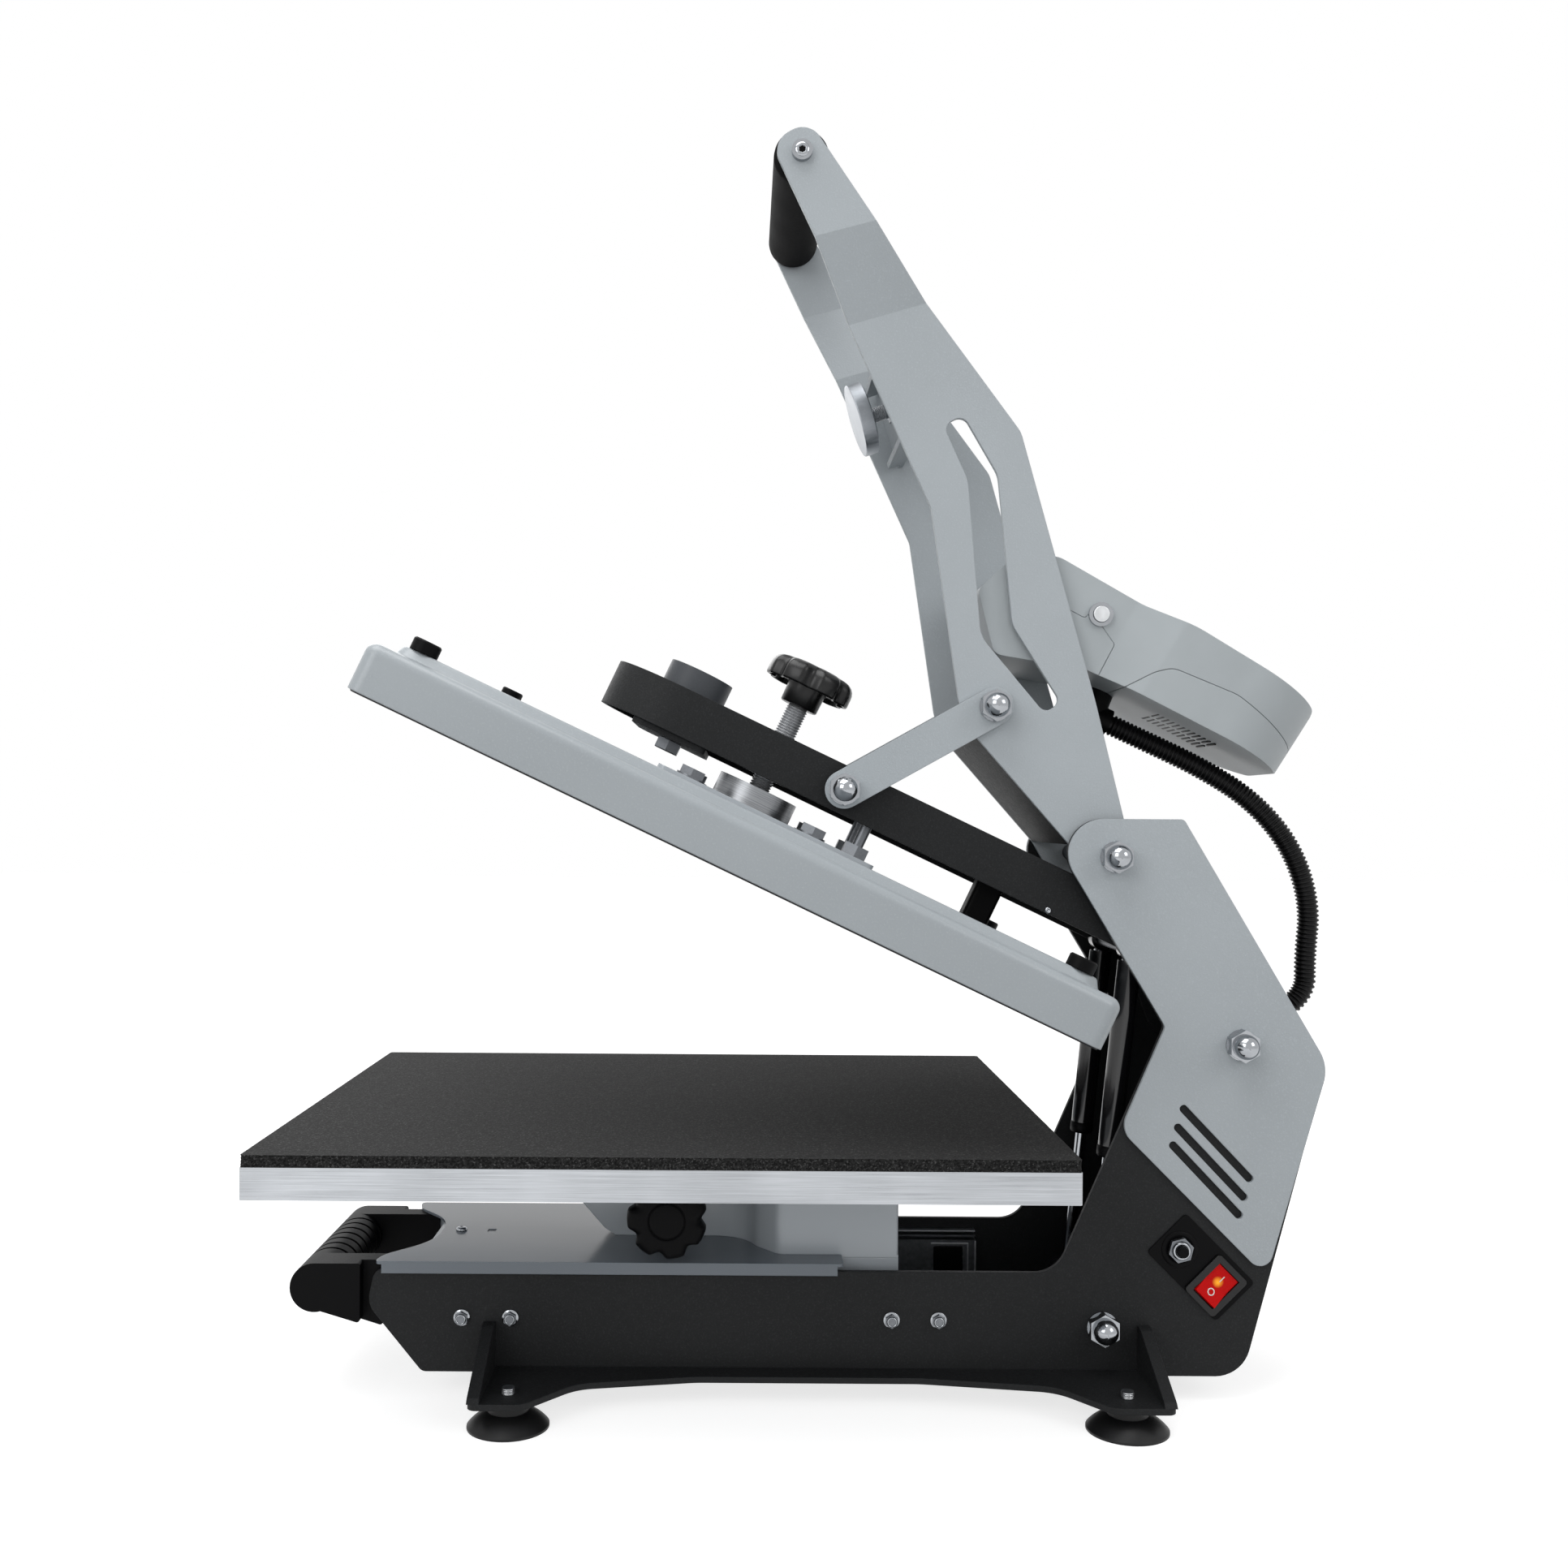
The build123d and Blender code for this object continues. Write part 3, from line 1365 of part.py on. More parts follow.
def ring_loft(path, length, stations):
    """Ruled loft through circles set square to a path, X axis kept steady."""
    rings = []
    for distance, radius in stations:
        share = distance / length
        plane = Plane(origin=path.position_at(share), x_dir=(1, 0, 0), z_dir=path.tangent_at(share))
        rings.append((plane * Circle(radius)).face())
    return loft(rings, ruled=True)


def hose_elbow():
    """Elbow fitting under the controller, where the hose starts."""
    start = Vector(0, *hose_start)
    run = (Vector(0, *hose_points[1]) - start).normalized()
    heel = start - run * elbow_length
    top = Vector(0, heel.Y + elbow_offset, elbow_top_z)
    elbow = bar_between(heel, start, 10) + Pos(*heel) * Sphere(10) + bar_between(heel, top, 10)
    return elbow - controller_body(0)


def handle_nodes():
    """Everything that swings with the handle."""
    right_arm = arm()
    core = bar_x((grip_y, grip_z), grip_core_radius, -arm_top_inside, arm_top_inside)
    core -= bar_x((grip_y, grip_z), grip_bolt_radius, -90, 90)
    foam = bar_x((grip_y, grip_z), grip_radius, -arm_top_inside + 1, arm_top_inside - 1)
    foam = fillet(foam.edges(), 3)
    foam -= bar_x((grip_y, grip_z), grip_core_radius, -90, 90)
    arm_top_outside = arm_top_inside + arm_thickness
    grip_bolt = bar_x((grip_y, grip_z), grip_bolt_radius, arm_top_inside - 20, arm_top_outside)
    grip_bolt += on_side(Cylinder(7, 4, align=LOW), (grip_y, grip_z), arm_top_inside + arm_thickness)
    return {
        "handle_arm_right": right_arm,
        "handle_arm_left": mirror(right_arm, about=Plane.YZ),
        "handle_channel": handle_channel(),
        "armature_bracket": armature_bracket(),
        "armature": armature(),
        "grip_core": core,
        "grip_foam": foam,
        "handle_bolts": both_sides(grip_bolt) + both_sides(link_pin()),
        **controller_nodes(),
        "hose_elbow": hose_elbow(),
    }


def build():
    """All nodes of the press in its photographed, open position."""
    nodes = base_nodes()
    nodes.update(switch_nodes())
    nodes.update(drawer_nodes())
    nodes.update(handle_nodes())
    tipped = {**beam_nodes(), **platen_nodes(), **pressure_nodes()}
    for name, piece in tipped.items():
        nodes[name] = [tip_up(solid) for solid in piece] if isinstance(piece, list) else tip_up(piece)
    nodes["links"] = both_sides(link())
    nodes["link_nuts"] = both_sides(link_nut())
    nodes["gas_tubes"] = both_sides(gas_tube())
    nodes["gas_rods"] = both_sides(gas_rod())
    return nodes


def main():
    """Build the press, centre it over its origin and write its parts."""
    nodes = build()
    limits = []
    for piece in nodes.values():
        limits += [solid.bounding_box() for solid in (piece if isinstance(piece, list) else [piece])]
    front = min(limit.min.Y for limit in limits)
    rear = max(limit.max.Y for limit in limits)
    bottom = min(limit.min.Z for limit in limits)
    moved_by = Pos(0, -(front + rear) / 2, -bottom)
    nodes["hose"] = hose()
    export_all(nodes, moved_by)
    print("moved by", moved_by.position)
    print("link foot", tip_up_point(link_foot_u, link_foot_n))
    print("spring head", tip_up_point(spring_head_u, spring_head_n))


if __name__ == "__main__":
    main()
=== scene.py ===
"""Looks of the slide-out heat press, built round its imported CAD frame.

Every sub-assembly is a class with its sizes as fields. Lengths are metres in the row frame:
X to the operator's right, -Y towards the operator, Z up.
"""
import json
import logging
import math
from dataclasses import dataclass, replace
from enum import Enum
from typing import Callable, Sequence

import bmesh
import bpy
from mathutils import Matrix, Vector, noise

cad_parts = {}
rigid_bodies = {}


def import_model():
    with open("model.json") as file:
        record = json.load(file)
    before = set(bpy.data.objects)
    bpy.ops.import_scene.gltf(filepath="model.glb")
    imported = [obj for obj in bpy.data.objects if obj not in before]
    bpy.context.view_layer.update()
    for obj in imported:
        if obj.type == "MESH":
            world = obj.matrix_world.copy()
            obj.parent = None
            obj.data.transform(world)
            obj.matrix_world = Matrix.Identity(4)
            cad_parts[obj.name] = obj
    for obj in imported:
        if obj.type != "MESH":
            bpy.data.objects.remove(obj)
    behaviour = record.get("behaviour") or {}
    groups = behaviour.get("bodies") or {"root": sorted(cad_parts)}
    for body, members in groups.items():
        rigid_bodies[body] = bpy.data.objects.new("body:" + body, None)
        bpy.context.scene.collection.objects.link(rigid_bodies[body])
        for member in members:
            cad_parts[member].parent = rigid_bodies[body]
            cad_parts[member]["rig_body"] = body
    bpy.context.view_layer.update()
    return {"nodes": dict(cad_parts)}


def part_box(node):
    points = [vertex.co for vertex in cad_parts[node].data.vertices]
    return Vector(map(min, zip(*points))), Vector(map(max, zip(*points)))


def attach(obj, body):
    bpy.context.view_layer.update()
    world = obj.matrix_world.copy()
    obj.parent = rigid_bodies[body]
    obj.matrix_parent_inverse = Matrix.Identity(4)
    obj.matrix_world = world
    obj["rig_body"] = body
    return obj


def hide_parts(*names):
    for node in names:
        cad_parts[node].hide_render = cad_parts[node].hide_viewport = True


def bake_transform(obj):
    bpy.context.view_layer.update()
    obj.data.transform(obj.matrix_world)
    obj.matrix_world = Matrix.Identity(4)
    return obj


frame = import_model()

log = logging.getLogger("heat_press")

Node = bpy.types.Node
Plug = bpy.types.NodeSocket
Tree = bpy.types.NodeTree
Material = bpy.types.Material
Mesh = bpy.types.Mesh
Piece = bpy.types.Object
Shape = bmesh.types.BMesh
Colour = tuple[float, float, float]
Pair = tuple[float, float]
Profile = Sequence[Pair]
Rings = Sequence[Sequence[Vector]]
Row = tuple[float, float, float]
Spots = Sequence[tuple[Vector, Vector]]
Lobing = Callable[[float, int], float]

MM = 0.001
DATUM_Y = -53.4257 * MM
HANDLE_PIVOT = (255.7, 367.0)
BEAM_PIVOT = (341.0, 241.0)
OPENING = math.radians(25.35)


def at(x: float, y: float, z: float) -> Vector:
    """Row-frame point of CAD millimetres, whose y is measured from the datum."""
    return Vector((x * MM, y * MM + DATUM_Y, z * MM))


def on_beam(x: float, u: float, n: float) -> Vector:
    """Row-frame point of a place given along (u) and above (n) the tipped beam, in mm."""
    y = BEAM_PIVOT[0] + u * math.cos(OPENING) + n * math.sin(OPENING)
    z = BEAM_PIVOT[1] - u * math.sin(OPENING) + n * math.cos(OPENING)
    return at(x, y, z)


BEAM_UP = Vector((0.0, math.sin(OPENING), math.cos(OPENING)))
BEAM_ALONG = Vector((0.0, math.cos(OPENING), -math.sin(OPENING)))


# ------------------------------------------------------------------ node trees


class Socket(Enum):
    """Kinds of node group sockets."""

    FLOAT = "NodeSocketFloat"
    VECTOR = "NodeSocketVector"
    INT = "NodeSocketInt"
    OBJECT = "NodeSocketObject"
    GEOMETRY = "NodeSocketGeometry"
    MATERIAL = "NodeSocketMaterial"


class NodeWriter:
    """Adds nodes to one shader or geometry tree."""

    def __init__(self, tree: Tree) -> None:
        """Take the tree to write in."""
        self.tree = tree

    def add(self, kind: str, inputs: dict | None = None, **settings: object) -> Node:
        """Add a node and fill its inputs.

        Args:
            kind: Node class name.
            inputs: Values or sockets by input name or number.
            **settings: Node properties.

        Returns:
            The new node.
        """
        node = self.tree.nodes.new(kind)
        for label, value in settings.items():
            setattr(node, label, value)
        for label, value in (inputs or {}).items():
            if isinstance(value, Plug):
                self.tree.links.new(value, node.inputs[label])
            else:
                node.inputs[label].default_value = value
        return node

    def calc(self, operation: str, *values: Plug | float, **settings: object) -> Plug:
        """Result of a math node."""
        inputs = dict(enumerate(values))
        return self.add("ShaderNodeMath", inputs, operation=operation, **settings).outputs[0]

    def ranged(
        self, value: Plug, low: float, high: float, start: float = 0.0, stop: float = 1.0,
        **settings: object,
    ) -> Plug:
        """A value carried from one range to another."""
        inputs = {"Value": value, 1: start, 2: stop, 3: low, 4: high}
        return self.add("ShaderNodeMapRange", inputs, **settings).outputs[0]

    def in_view(self) -> Plug:
        """1 for rays that show a surface directly, through glass or mirrored, else 0."""
        ray = self.add("ShaderNodeLightPath").outputs
        direct = self.calc("MAXIMUM", ray["Is Camera Ray"], ray["Is Transmission Ray"])
        return self.calc("MAXIMUM", direct, ray["Is Glossy Ray"])


class GroupBuilder(NodeWriter):
    """Builds one node group with named inputs and outputs."""

    def __init__(
        self, name: str, inputs: dict[str, Socket | float], outputs: dict[str, Socket],
        kind: str = "ShaderNodeTree",
    ) -> None:
        """Make the group and its sockets.

        Args:
            name: Name of the group.
            inputs: Default of each number, and socket kind of each other input.
            outputs: Socket kind of each output.
            kind: Class of the tree.
        """
        super().__init__(bpy.data.node_groups.new(name, kind))
        sockets = self.tree.interface
        for label, given in inputs.items():
            socket = given if isinstance(given, Socket) else Socket.FLOAT
            made = sockets.new_socket(label, in_out="INPUT", socket_type=socket.value)
            if given is not socket:
                made.default_value = given
        for label, socket in outputs.items():
            sockets.new_socket(label, in_out="OUTPUT", socket_type=socket.value)
        self.given = self.tree.nodes.new("NodeGroupInput").outputs
        self.result = self.tree.nodes.new("NodeGroupOutput")

    def give(self, label: str, socket: Plug) -> None:
        """Link a socket to one of the group's outputs."""
        self.tree.links.new(socket, self.result.inputs[label])


class GrowthBuilder(GroupBuilder):
    """Builds a geometry tree that ends realised and dressed in its Material input."""

    def __init__(self, name: str, inputs: dict[str, Socket]) -> None:
        """Make the tree with its own inputs, between Geometry and Material."""
        labels = {"Geometry": Socket.GEOMETRY, **inputs, "Material": Socket.MATERIAL}
        super().__init__(name, labels, {"Geometry": Socket.GEOMETRY}, "GeometryNodeTree")

    def finish(self, geometry: Plug) -> Tree:
        """Realise the instances, set the material and give the tree."""
        real = self.add("GeometryNodeRealizeInstances", {0: geometry}).outputs[0]
        inputs = {"Geometry": real, "Material": self.given["Material"]}
        self.give("Geometry", self.add("GeometryNodeSetMaterial", inputs).outputs[0])
        return self.tree


def cloudy_group() -> Tree:
    """Soft uneven tone, from -1 to 1."""
    made = GroupBuilder("uneven_tone", {"Vector": Socket.VECTOR, "Size": 20.0}, {"Tone": Socket.FLOAT})
    inputs = {"Vector": made.given["Vector"], "Scale": made.given["Size"], "Detail": 3.0}
    clouds = made.add("ShaderNodeTexNoise", inputs)
    made.give("Tone", made.ranged(clouds.outputs["Fac"], -1.0, 1.0, 0.3, 0.7))
    return made.tree


def powder_group() -> Tree:
    """Fine pebbled height of a powder coat, with a sparser coarse grain on top."""
    made = GroupBuilder(
        "powder_grain",
        {"Vector": Socket.VECTOR, "Size": 1400.0, "Coarse": 0.4},
        {"Height": Socket.FLOAT, "Speckle": Socket.FLOAT},
    )
    vector, size = made.given["Vector"], made.given["Size"]
    inputs = {"Vector": vector, "Scale": size, "Detail": 2.0, "Roughness": 0.55}
    fine = made.add("ShaderNodeTexNoise", inputs).outputs["Fac"]
    inputs = {"Vector": vector, "Scale": made.calc("MULTIPLY", size, 0.33)}
    pebble = made.add("ShaderNodeTexVoronoi", inputs, feature="SMOOTH_F1").outputs["Distance"]
    share = made.calc("MULTIPLY", pebble, made.given["Coarse"])
    made.give("Height", made.calc("ADD", fine, share))
    made.give("Speckle", made.ranged(fine, 0.0, 1.0, 0.55, 0.72))
    return made.tree


def streak_group() -> Tree:
    """Long parallel brush streaks, finer across than along by Stretch; Tilt turns them about X."""
    made = GroupBuilder(
        "brushed_streaks",
        {"Vector": Socket.VECTOR, "Stretch": Socket.VECTOR, "Tilt": 0.0},
        {"Streak": Socket.FLOAT},
    )
    inputs = {"Vector": made.given["Vector"], "Angle": made.given["Tilt"]}
    upright = made.add("ShaderNodeVectorRotate", inputs, rotation_type="X_AXIS")
    inputs = {0: upright.outputs[0], 1: made.given["Stretch"]}
    scaled = made.add("ShaderNodeVectorMath", inputs, operation="MULTIPLY")
    inputs = {"Vector": scaled.outputs[0], "Scale": 1.0, "Detail": 5.0, "Roughness": 0.7}
    made.give("Streak", made.add("ShaderNodeTexNoise", inputs).outputs["Fac"])
    return made.tree


def edge_group() -> Tree:
    """Mask of sharp edges, which the finishes lighten as wear and as a painted highlight, and the normal
    that rounds them.
    """
    made = GroupBuilder(
        "edge_mask",
        {"Radius": 0.0008, "Gain": 3.0},
        {"Edge": Socket.FLOAT, "Normal": Socket.VECTOR},
    )
    bevel = made.add("ShaderNodeBevel", {"Radius": made.given["Radius"]}, samples=4).outputs["Normal"]
    plain = made.add("ShaderNodeNewGeometry").outputs["Normal"]
    inputs = {0: bevel, 1: plain}
    same = made.add("ShaderNodeVectorMath", inputs, operation="DOT_PRODUCT").outputs["Value"]
    turned = made.calc("SUBTRACT", 1.0, same)
    made.give("Edge", made.calc("MULTIPLY", turned, made.given["Gain"], use_clamp=True))
    made.give("Normal", bevel)
    return made.tree


def cell_group() -> Tree:
    """Open cells of a sponge, as a height and a mask of the pores."""
    made = GroupBuilder(
        "sponge_cells",
        {"Vector": Socket.VECTOR, "Size": 700.0},
        {"Height": Socket.FLOAT, "Pore": Socket.FLOAT},
    )
    inputs = {"Vector": made.given["Vector"], "Scale": made.given["Size"]}
    cells = made.add("ShaderNodeTexVoronoi", inputs).outputs["Distance"]
    made.give("Height", cells)
    made.give("Pore", made.ranged(cells, 1.0, 0.0, 0.34, 0.66))
    return made.tree


class Effects:
    """The shared shader groups, each made once."""

    made: dict[str, Tree] = {}
    makers: dict[str, Callable[[], Tree]] = {
        "tone": cloudy_group,
        "powder": powder_group,
        "streaks": streak_group,
        "edge": edge_group,
        "cells": cell_group,
    }

    @classmethod
    def get(cls, name: str) -> Tree:
        """The group of that name, built at its first use."""
        if name not in cls.made:
            cls.made[name] = cls.makers[name]()
        return cls.made[name]


# ------------------------------------------------------------------ finishes


def srgb(red: int, green: int, blue: int) -> Colour:
    """Linear colour of a 0 to 255 display colour."""
    def linear(value: int) -> float:
        """One channel made linear."""
        share = value / 255
        return share / 12.92 if share <= 0.04045 else ((share + 0.055) / 1.055) ** 2.4

    return (linear(red), linear(green), linear(blue))


class Recipe(NodeWriter):
    """A material being made, with its Principled shader and object coordinates at hand."""

    def __init__(self, name: str) -> None:
        """Start a plain Principled material."""
        self.material = bpy.data.materials.new(name)
        self.material.use_nodes = True
        super().__init__(self.material.node_tree)
        self.shader = self.tree.nodes["Principled BSDF"]
        self.place = self.add("ShaderNodeTexCoord").outputs["Object"]

    def effect(self, name: str, inputs: dict | None = None) -> bpy.types.bpy_prop_collection:
        """Outputs of a shared group, fed with object coordinates where it takes a vector."""
        node = self.add("ShaderNodeGroup", node_tree=Effects.get(name))
        if "Vector" in node.inputs:
            self.tree.links.new(self.place, node.inputs["Vector"])
        for label, value in (inputs or {}).items():
            node.inputs[label].default_value = value
        return node.outputs

    def tone(self, size: float, low: float = 0.0, high: float = 1.0) -> Plug:
        """Soft clouds of a size, between two values."""
        return self.ranged(self.effect("tone", {"Size": size})[0], low, high, -1.0, 1.0)

    def set(self, **values: object) -> None:
        """Set the shader's own sockets; underscores stand for spaces."""
        for label, value in values.items():
            self.shader.inputs[label.replace("_", " ")].default_value = value

    def feed(self, label: str, socket: Plug) -> None:
        """Link a socket to the shader."""
        self.tree.links.new(socket, self.shader.inputs[label])

    def mix(self, share: Plug, low: Plug | Colour, high: Plug | Colour) -> Plug:
        """Colour between two by a mask."""
        low, high = (end if isinstance(end, Plug) else (*end, 1.0) for end in (low, high))
        return self.add("ShaderNodeMix", {0: share, 6: low, 7: high}, data_type="RGBA").outputs[2]

    def clouded(self, share: Plug, colour: Colour, darker: float, lighter: float) -> Plug:
        """The colour between its darker and its lighter shade."""
        return self.mix(share, shifted(colour, -darker), shifted(colour, lighter))

    def bump(self, height: Plug, strength: float, distance: float, rounded: Plug | None = None) -> None:
        """Feed the normal from a height, on top of a rounded normal where one is given."""
        inputs: dict = {"Height": height, "Strength": strength, "Distance": distance}
        if rounded is not None:
            inputs["Normal"] = rounded
        self.feed("Normal", self.add("ShaderNodeBump", inputs).outputs["Normal"])


def shifted(colour: Colour, amount: float) -> Colour:
    """The colour made lighter or darker by a share."""
    return tuple(max(0.0, channel * (1 + amount)) for channel in colour)


@dataclass(frozen=True)
class PowderCoat:
    """Textured baked paint on steel."""

    name: str
    colour: Colour
    grain: float = 1400.0
    depth: float = 0.00012
    roughness: float = 0.55
    strength: float = 0.35
    # Lightening of sharp edges: partly wear, partly a painted highlight.
    edge_wear_and_highlight: float = 0.25
    speckle: float = 0.12
    coat: float = 0.0
    coarse: float = 0.4
    cloud: float = 0.04
    shine: float = 0.35
    lining: Colour | None = None

    def material(self) -> Material:
        """The node material of this coat."""
        recipe = Recipe(self.name)
        grain = recipe.effect("powder", {"Size": self.grain, "Coarse": self.coarse})
        edge = recipe.effect("edge", {"Radius": 0.0009, "Gain": 2.2})
        base = recipe.clouded(recipe.tone(9.0), self.colour, self.cloud, self.cloud)
        spotted = recipe.mix(grain["Speckle"], base, shifted(self.colour, self.speckle))
        # Edges lighter by the edge mask: partly wear, partly a painted highlight.
        edged = recipe.mix(edge[0], spotted, shifted(self.colour, self.edge_wear_and_highlight))
        recipe.feed("Base Color", self.lined(recipe, edged))
        spread = min(0.1, 0.25 * self.strength)
        rough = (self.roughness + spread, self.roughness - spread)
        recipe.feed("Roughness", recipe.ranged(grain["Height"], *rough, 0.2, 1.0))
        recipe.set(Coat_Weight=self.coat, Coat_Roughness=0.2, Specular_IOR_Level=self.shine)
        recipe.bump(grain["Height"], self.strength, self.depth, edge["Normal"])
        return recipe.material

    def lined(self, recipe: Recipe, outside: Plug) -> Plug:
        """The colour, changed to the lining on faces that look towards the middle plane."""
        if self.lining is None:
            return outside
        spot = recipe.add("ShaderNodeSeparateXYZ", {0: recipe.place}).outputs["X"]
        normal = recipe.add("ShaderNodeTexCoord").outputs["Normal"]
        facing = recipe.add("ShaderNodeSeparateXYZ", {0: normal}).outputs["X"]
        inner = recipe.calc("LESS_THAN", recipe.calc("MULTIPLY", spot, facing), -0.03)
        return recipe.mix(inner, outside, self.lining)


@dataclass(frozen=True)
class BrushedMetal:
    """Bare metal with directional streaks."""

    name: str
    colour: Colour
    stretch: Colour = (60.0, 12.0, 2600.0)
    roughness: float = 0.32
    contrast: float = 0.12
    metallic: float = 1.0
    tilt: float = 0.0

    def material(self) -> Material:
        """The node material of this metal."""
        recipe = Recipe(self.name)
        streak = recipe.effect("streaks", {"Stretch": self.stretch, "Tilt": self.tilt})[0]
        blended = recipe.calc("ADD", streak, recipe.tone(14.0, -0.08, 0.08))
        share = recipe.ranged(blended, 0.0, 1.0, 0.3, 0.7)
        recipe.feed("Base Color", recipe.clouded(share, self.colour, self.contrast, self.contrast))
        rough = (self.roughness - 0.07, self.roughness + 0.1)
        recipe.feed("Roughness", recipe.ranged(streak, *rough, 0.3, 0.7))
        recipe.set(Metallic=self.metallic)
        recipe.bump(streak, 0.12, 0.00005)
        return recipe.material


@dataclass(frozen=True)
class Polished:
    """Bright plated or polished metal with faint smudges."""

    name: str
    colour: Colour
    roughness: float = 0.12

    def material(self) -> Material:
        """The node material of this plating."""
        recipe = Recipe(self.name)
        fine = recipe.effect("powder", {"Size": 2600.0, "Coarse": 0.1})
        recipe.feed("Base Color", recipe.clouded(recipe.tone(160.0), self.colour, 0.06, 0.04))
        recipe.feed("Roughness", recipe.tone(160.0, self.roughness * 0.8, self.roughness * 1.6))
        recipe.set(Metallic=1.0)
        recipe.bump(fine["Height"], 0.05, 0.00003)
        return recipe.material


@dataclass(frozen=True)
class Moulded:
    """Moulded plastic, matte or glossy."""

    name: str
    colour: Colour
    roughness: float = 0.4
    grain: float = 2200.0
    strength: float = 0.08
    coat: float = 0.0
    shine: float = 0.3

    def material(self) -> Material:
        """The node material of this plastic."""
        recipe = Recipe(self.name)
        grain = recipe.effect("powder", {"Size": self.grain, "Coarse": 0.2})
        edge = recipe.effect("edge", {"Radius": 0.0007, "Gain": 1.6})
        base = recipe.clouded(recipe.tone(22.0), self.colour, 0.04, 0.04)
        # Edges lighter by the edge mask: partly wear, partly a painted highlight.
        recipe.feed("Base Color", recipe.mix(edge[0], base, shifted(self.colour, 0.3)))
        rough = (self.roughness + 0.06, self.roughness - 0.04)
        recipe.feed("Roughness", recipe.ranged(grain["Height"], *rough, 0.2, 1.0))
        recipe.set(Coat_Weight=self.coat, Coat_Roughness=0.2, Specular_IOR_Level=self.shine)
        recipe.bump(grain["Height"], self.strength, 0.00006, edge["Normal"])
        return recipe.material


@dataclass(frozen=True)
class Sponge:
    """Foam or sponge rubber, from closed skin to open cells."""

    name: str
    colour: Colour
    cells: float = 900.0
    openness: float = 0.4
    roughness: float = 0.92
    sheen: float = 0.1
    skin: float = 1.0
    mottle: float = 0.12
    uneven: float = 0.06

    def material(self) -> Material:
        """The node material of this foam."""
        recipe = Recipe(self.name)
        cell = recipe.effect("cells", {"Size": self.cells})
        fine = recipe.effect("powder", {"Size": self.cells * 1.5, "Coarse": 0.8})
        base = recipe.clouded(recipe.tone(430.0), self.colour, self.uneven, self.uneven)
        normal = recipe.add("ShaderNodeTexCoord").outputs["Normal"]
        upright = recipe.add("ShaderNodeSeparateXYZ", {0: normal}).outputs["Z"]
        cut = recipe.ranged(upright, self.openness, self.openness * self.skin, 0.3, 0.7)
        # Pores darkened: painted shade inside the open cells.
        pores_in_painted_shade = recipe.mix(recipe.calc("MULTIPLY", cell["Pore"], cut), base, shifted(self.colour, -0.75))
        light = shifted(self.colour, self.mottle * 3.0)
        recipe.feed("Base Color", recipe.mix(fine["Speckle"], pores_in_painted_shade, light))
        rough = (self.roughness, self.roughness - 0.1)
        recipe.feed("Roughness", recipe.ranged(fine["Height"], *rough, 0.2, 1.0))
        recipe.set(Sheen_Weight=self.sheen, Sheen_Roughness=0.5, Specular_IOR_Level=0.12)
        recipe.bump(recipe.calc("ADD", cell["Height"], fine["Height"]), 0.5, 0.0002)
        return recipe.material


@dataclass(frozen=True)
class LitLens:
    """Translucent lens lit from behind, brightest about one point."""

    name: str
    colour: Colour
    glow: Colour
    centre: Colour
    reach: float = 0.016
    strength: float = 0.55

    def material(self) -> Material:
        """The node material of this lens."""
        recipe = Recipe(self.name)
        inputs = {0: recipe.place, 1: self.centre}
        far = recipe.add("ShaderNodeVectorMath", inputs, operation="DISTANCE").outputs["Value"]
        near = recipe.ranged(far, 1.0, 0.0, 0.0, self.reach)
        uneven = recipe.calc("MULTIPLY", near, recipe.tone(260.0, 0.85, 1.1), use_clamp=True)
        recipe.feed("Base Color", recipe.mix(uneven, self.colour, self.glow))
        recipe.feed("Emission Color", recipe.mix(uneven, shifted(self.colour, -0.4), self.glow))
        recipe.set(Emission_Strength=self.strength, Roughness=0.3, Specular_IOR_Level=0.12)
        fine = recipe.effect("powder", {"Size": 3000.0, "Coarse": 0.1})
        recipe.bump(fine["Height"], 0.03, 0.00003)
        return recipe.material


GREY_COAT = PowderCoat(
    "grey_powder_coat", srgb(158, 164, 168), grain=850.0, depth=0.0002, strength=0.7, edge_wear_and_highlight=0.14,
    speckle=0.1, shine=0.3,
)
FINE_STREAKS = (300.0, 300.0, 300.0)


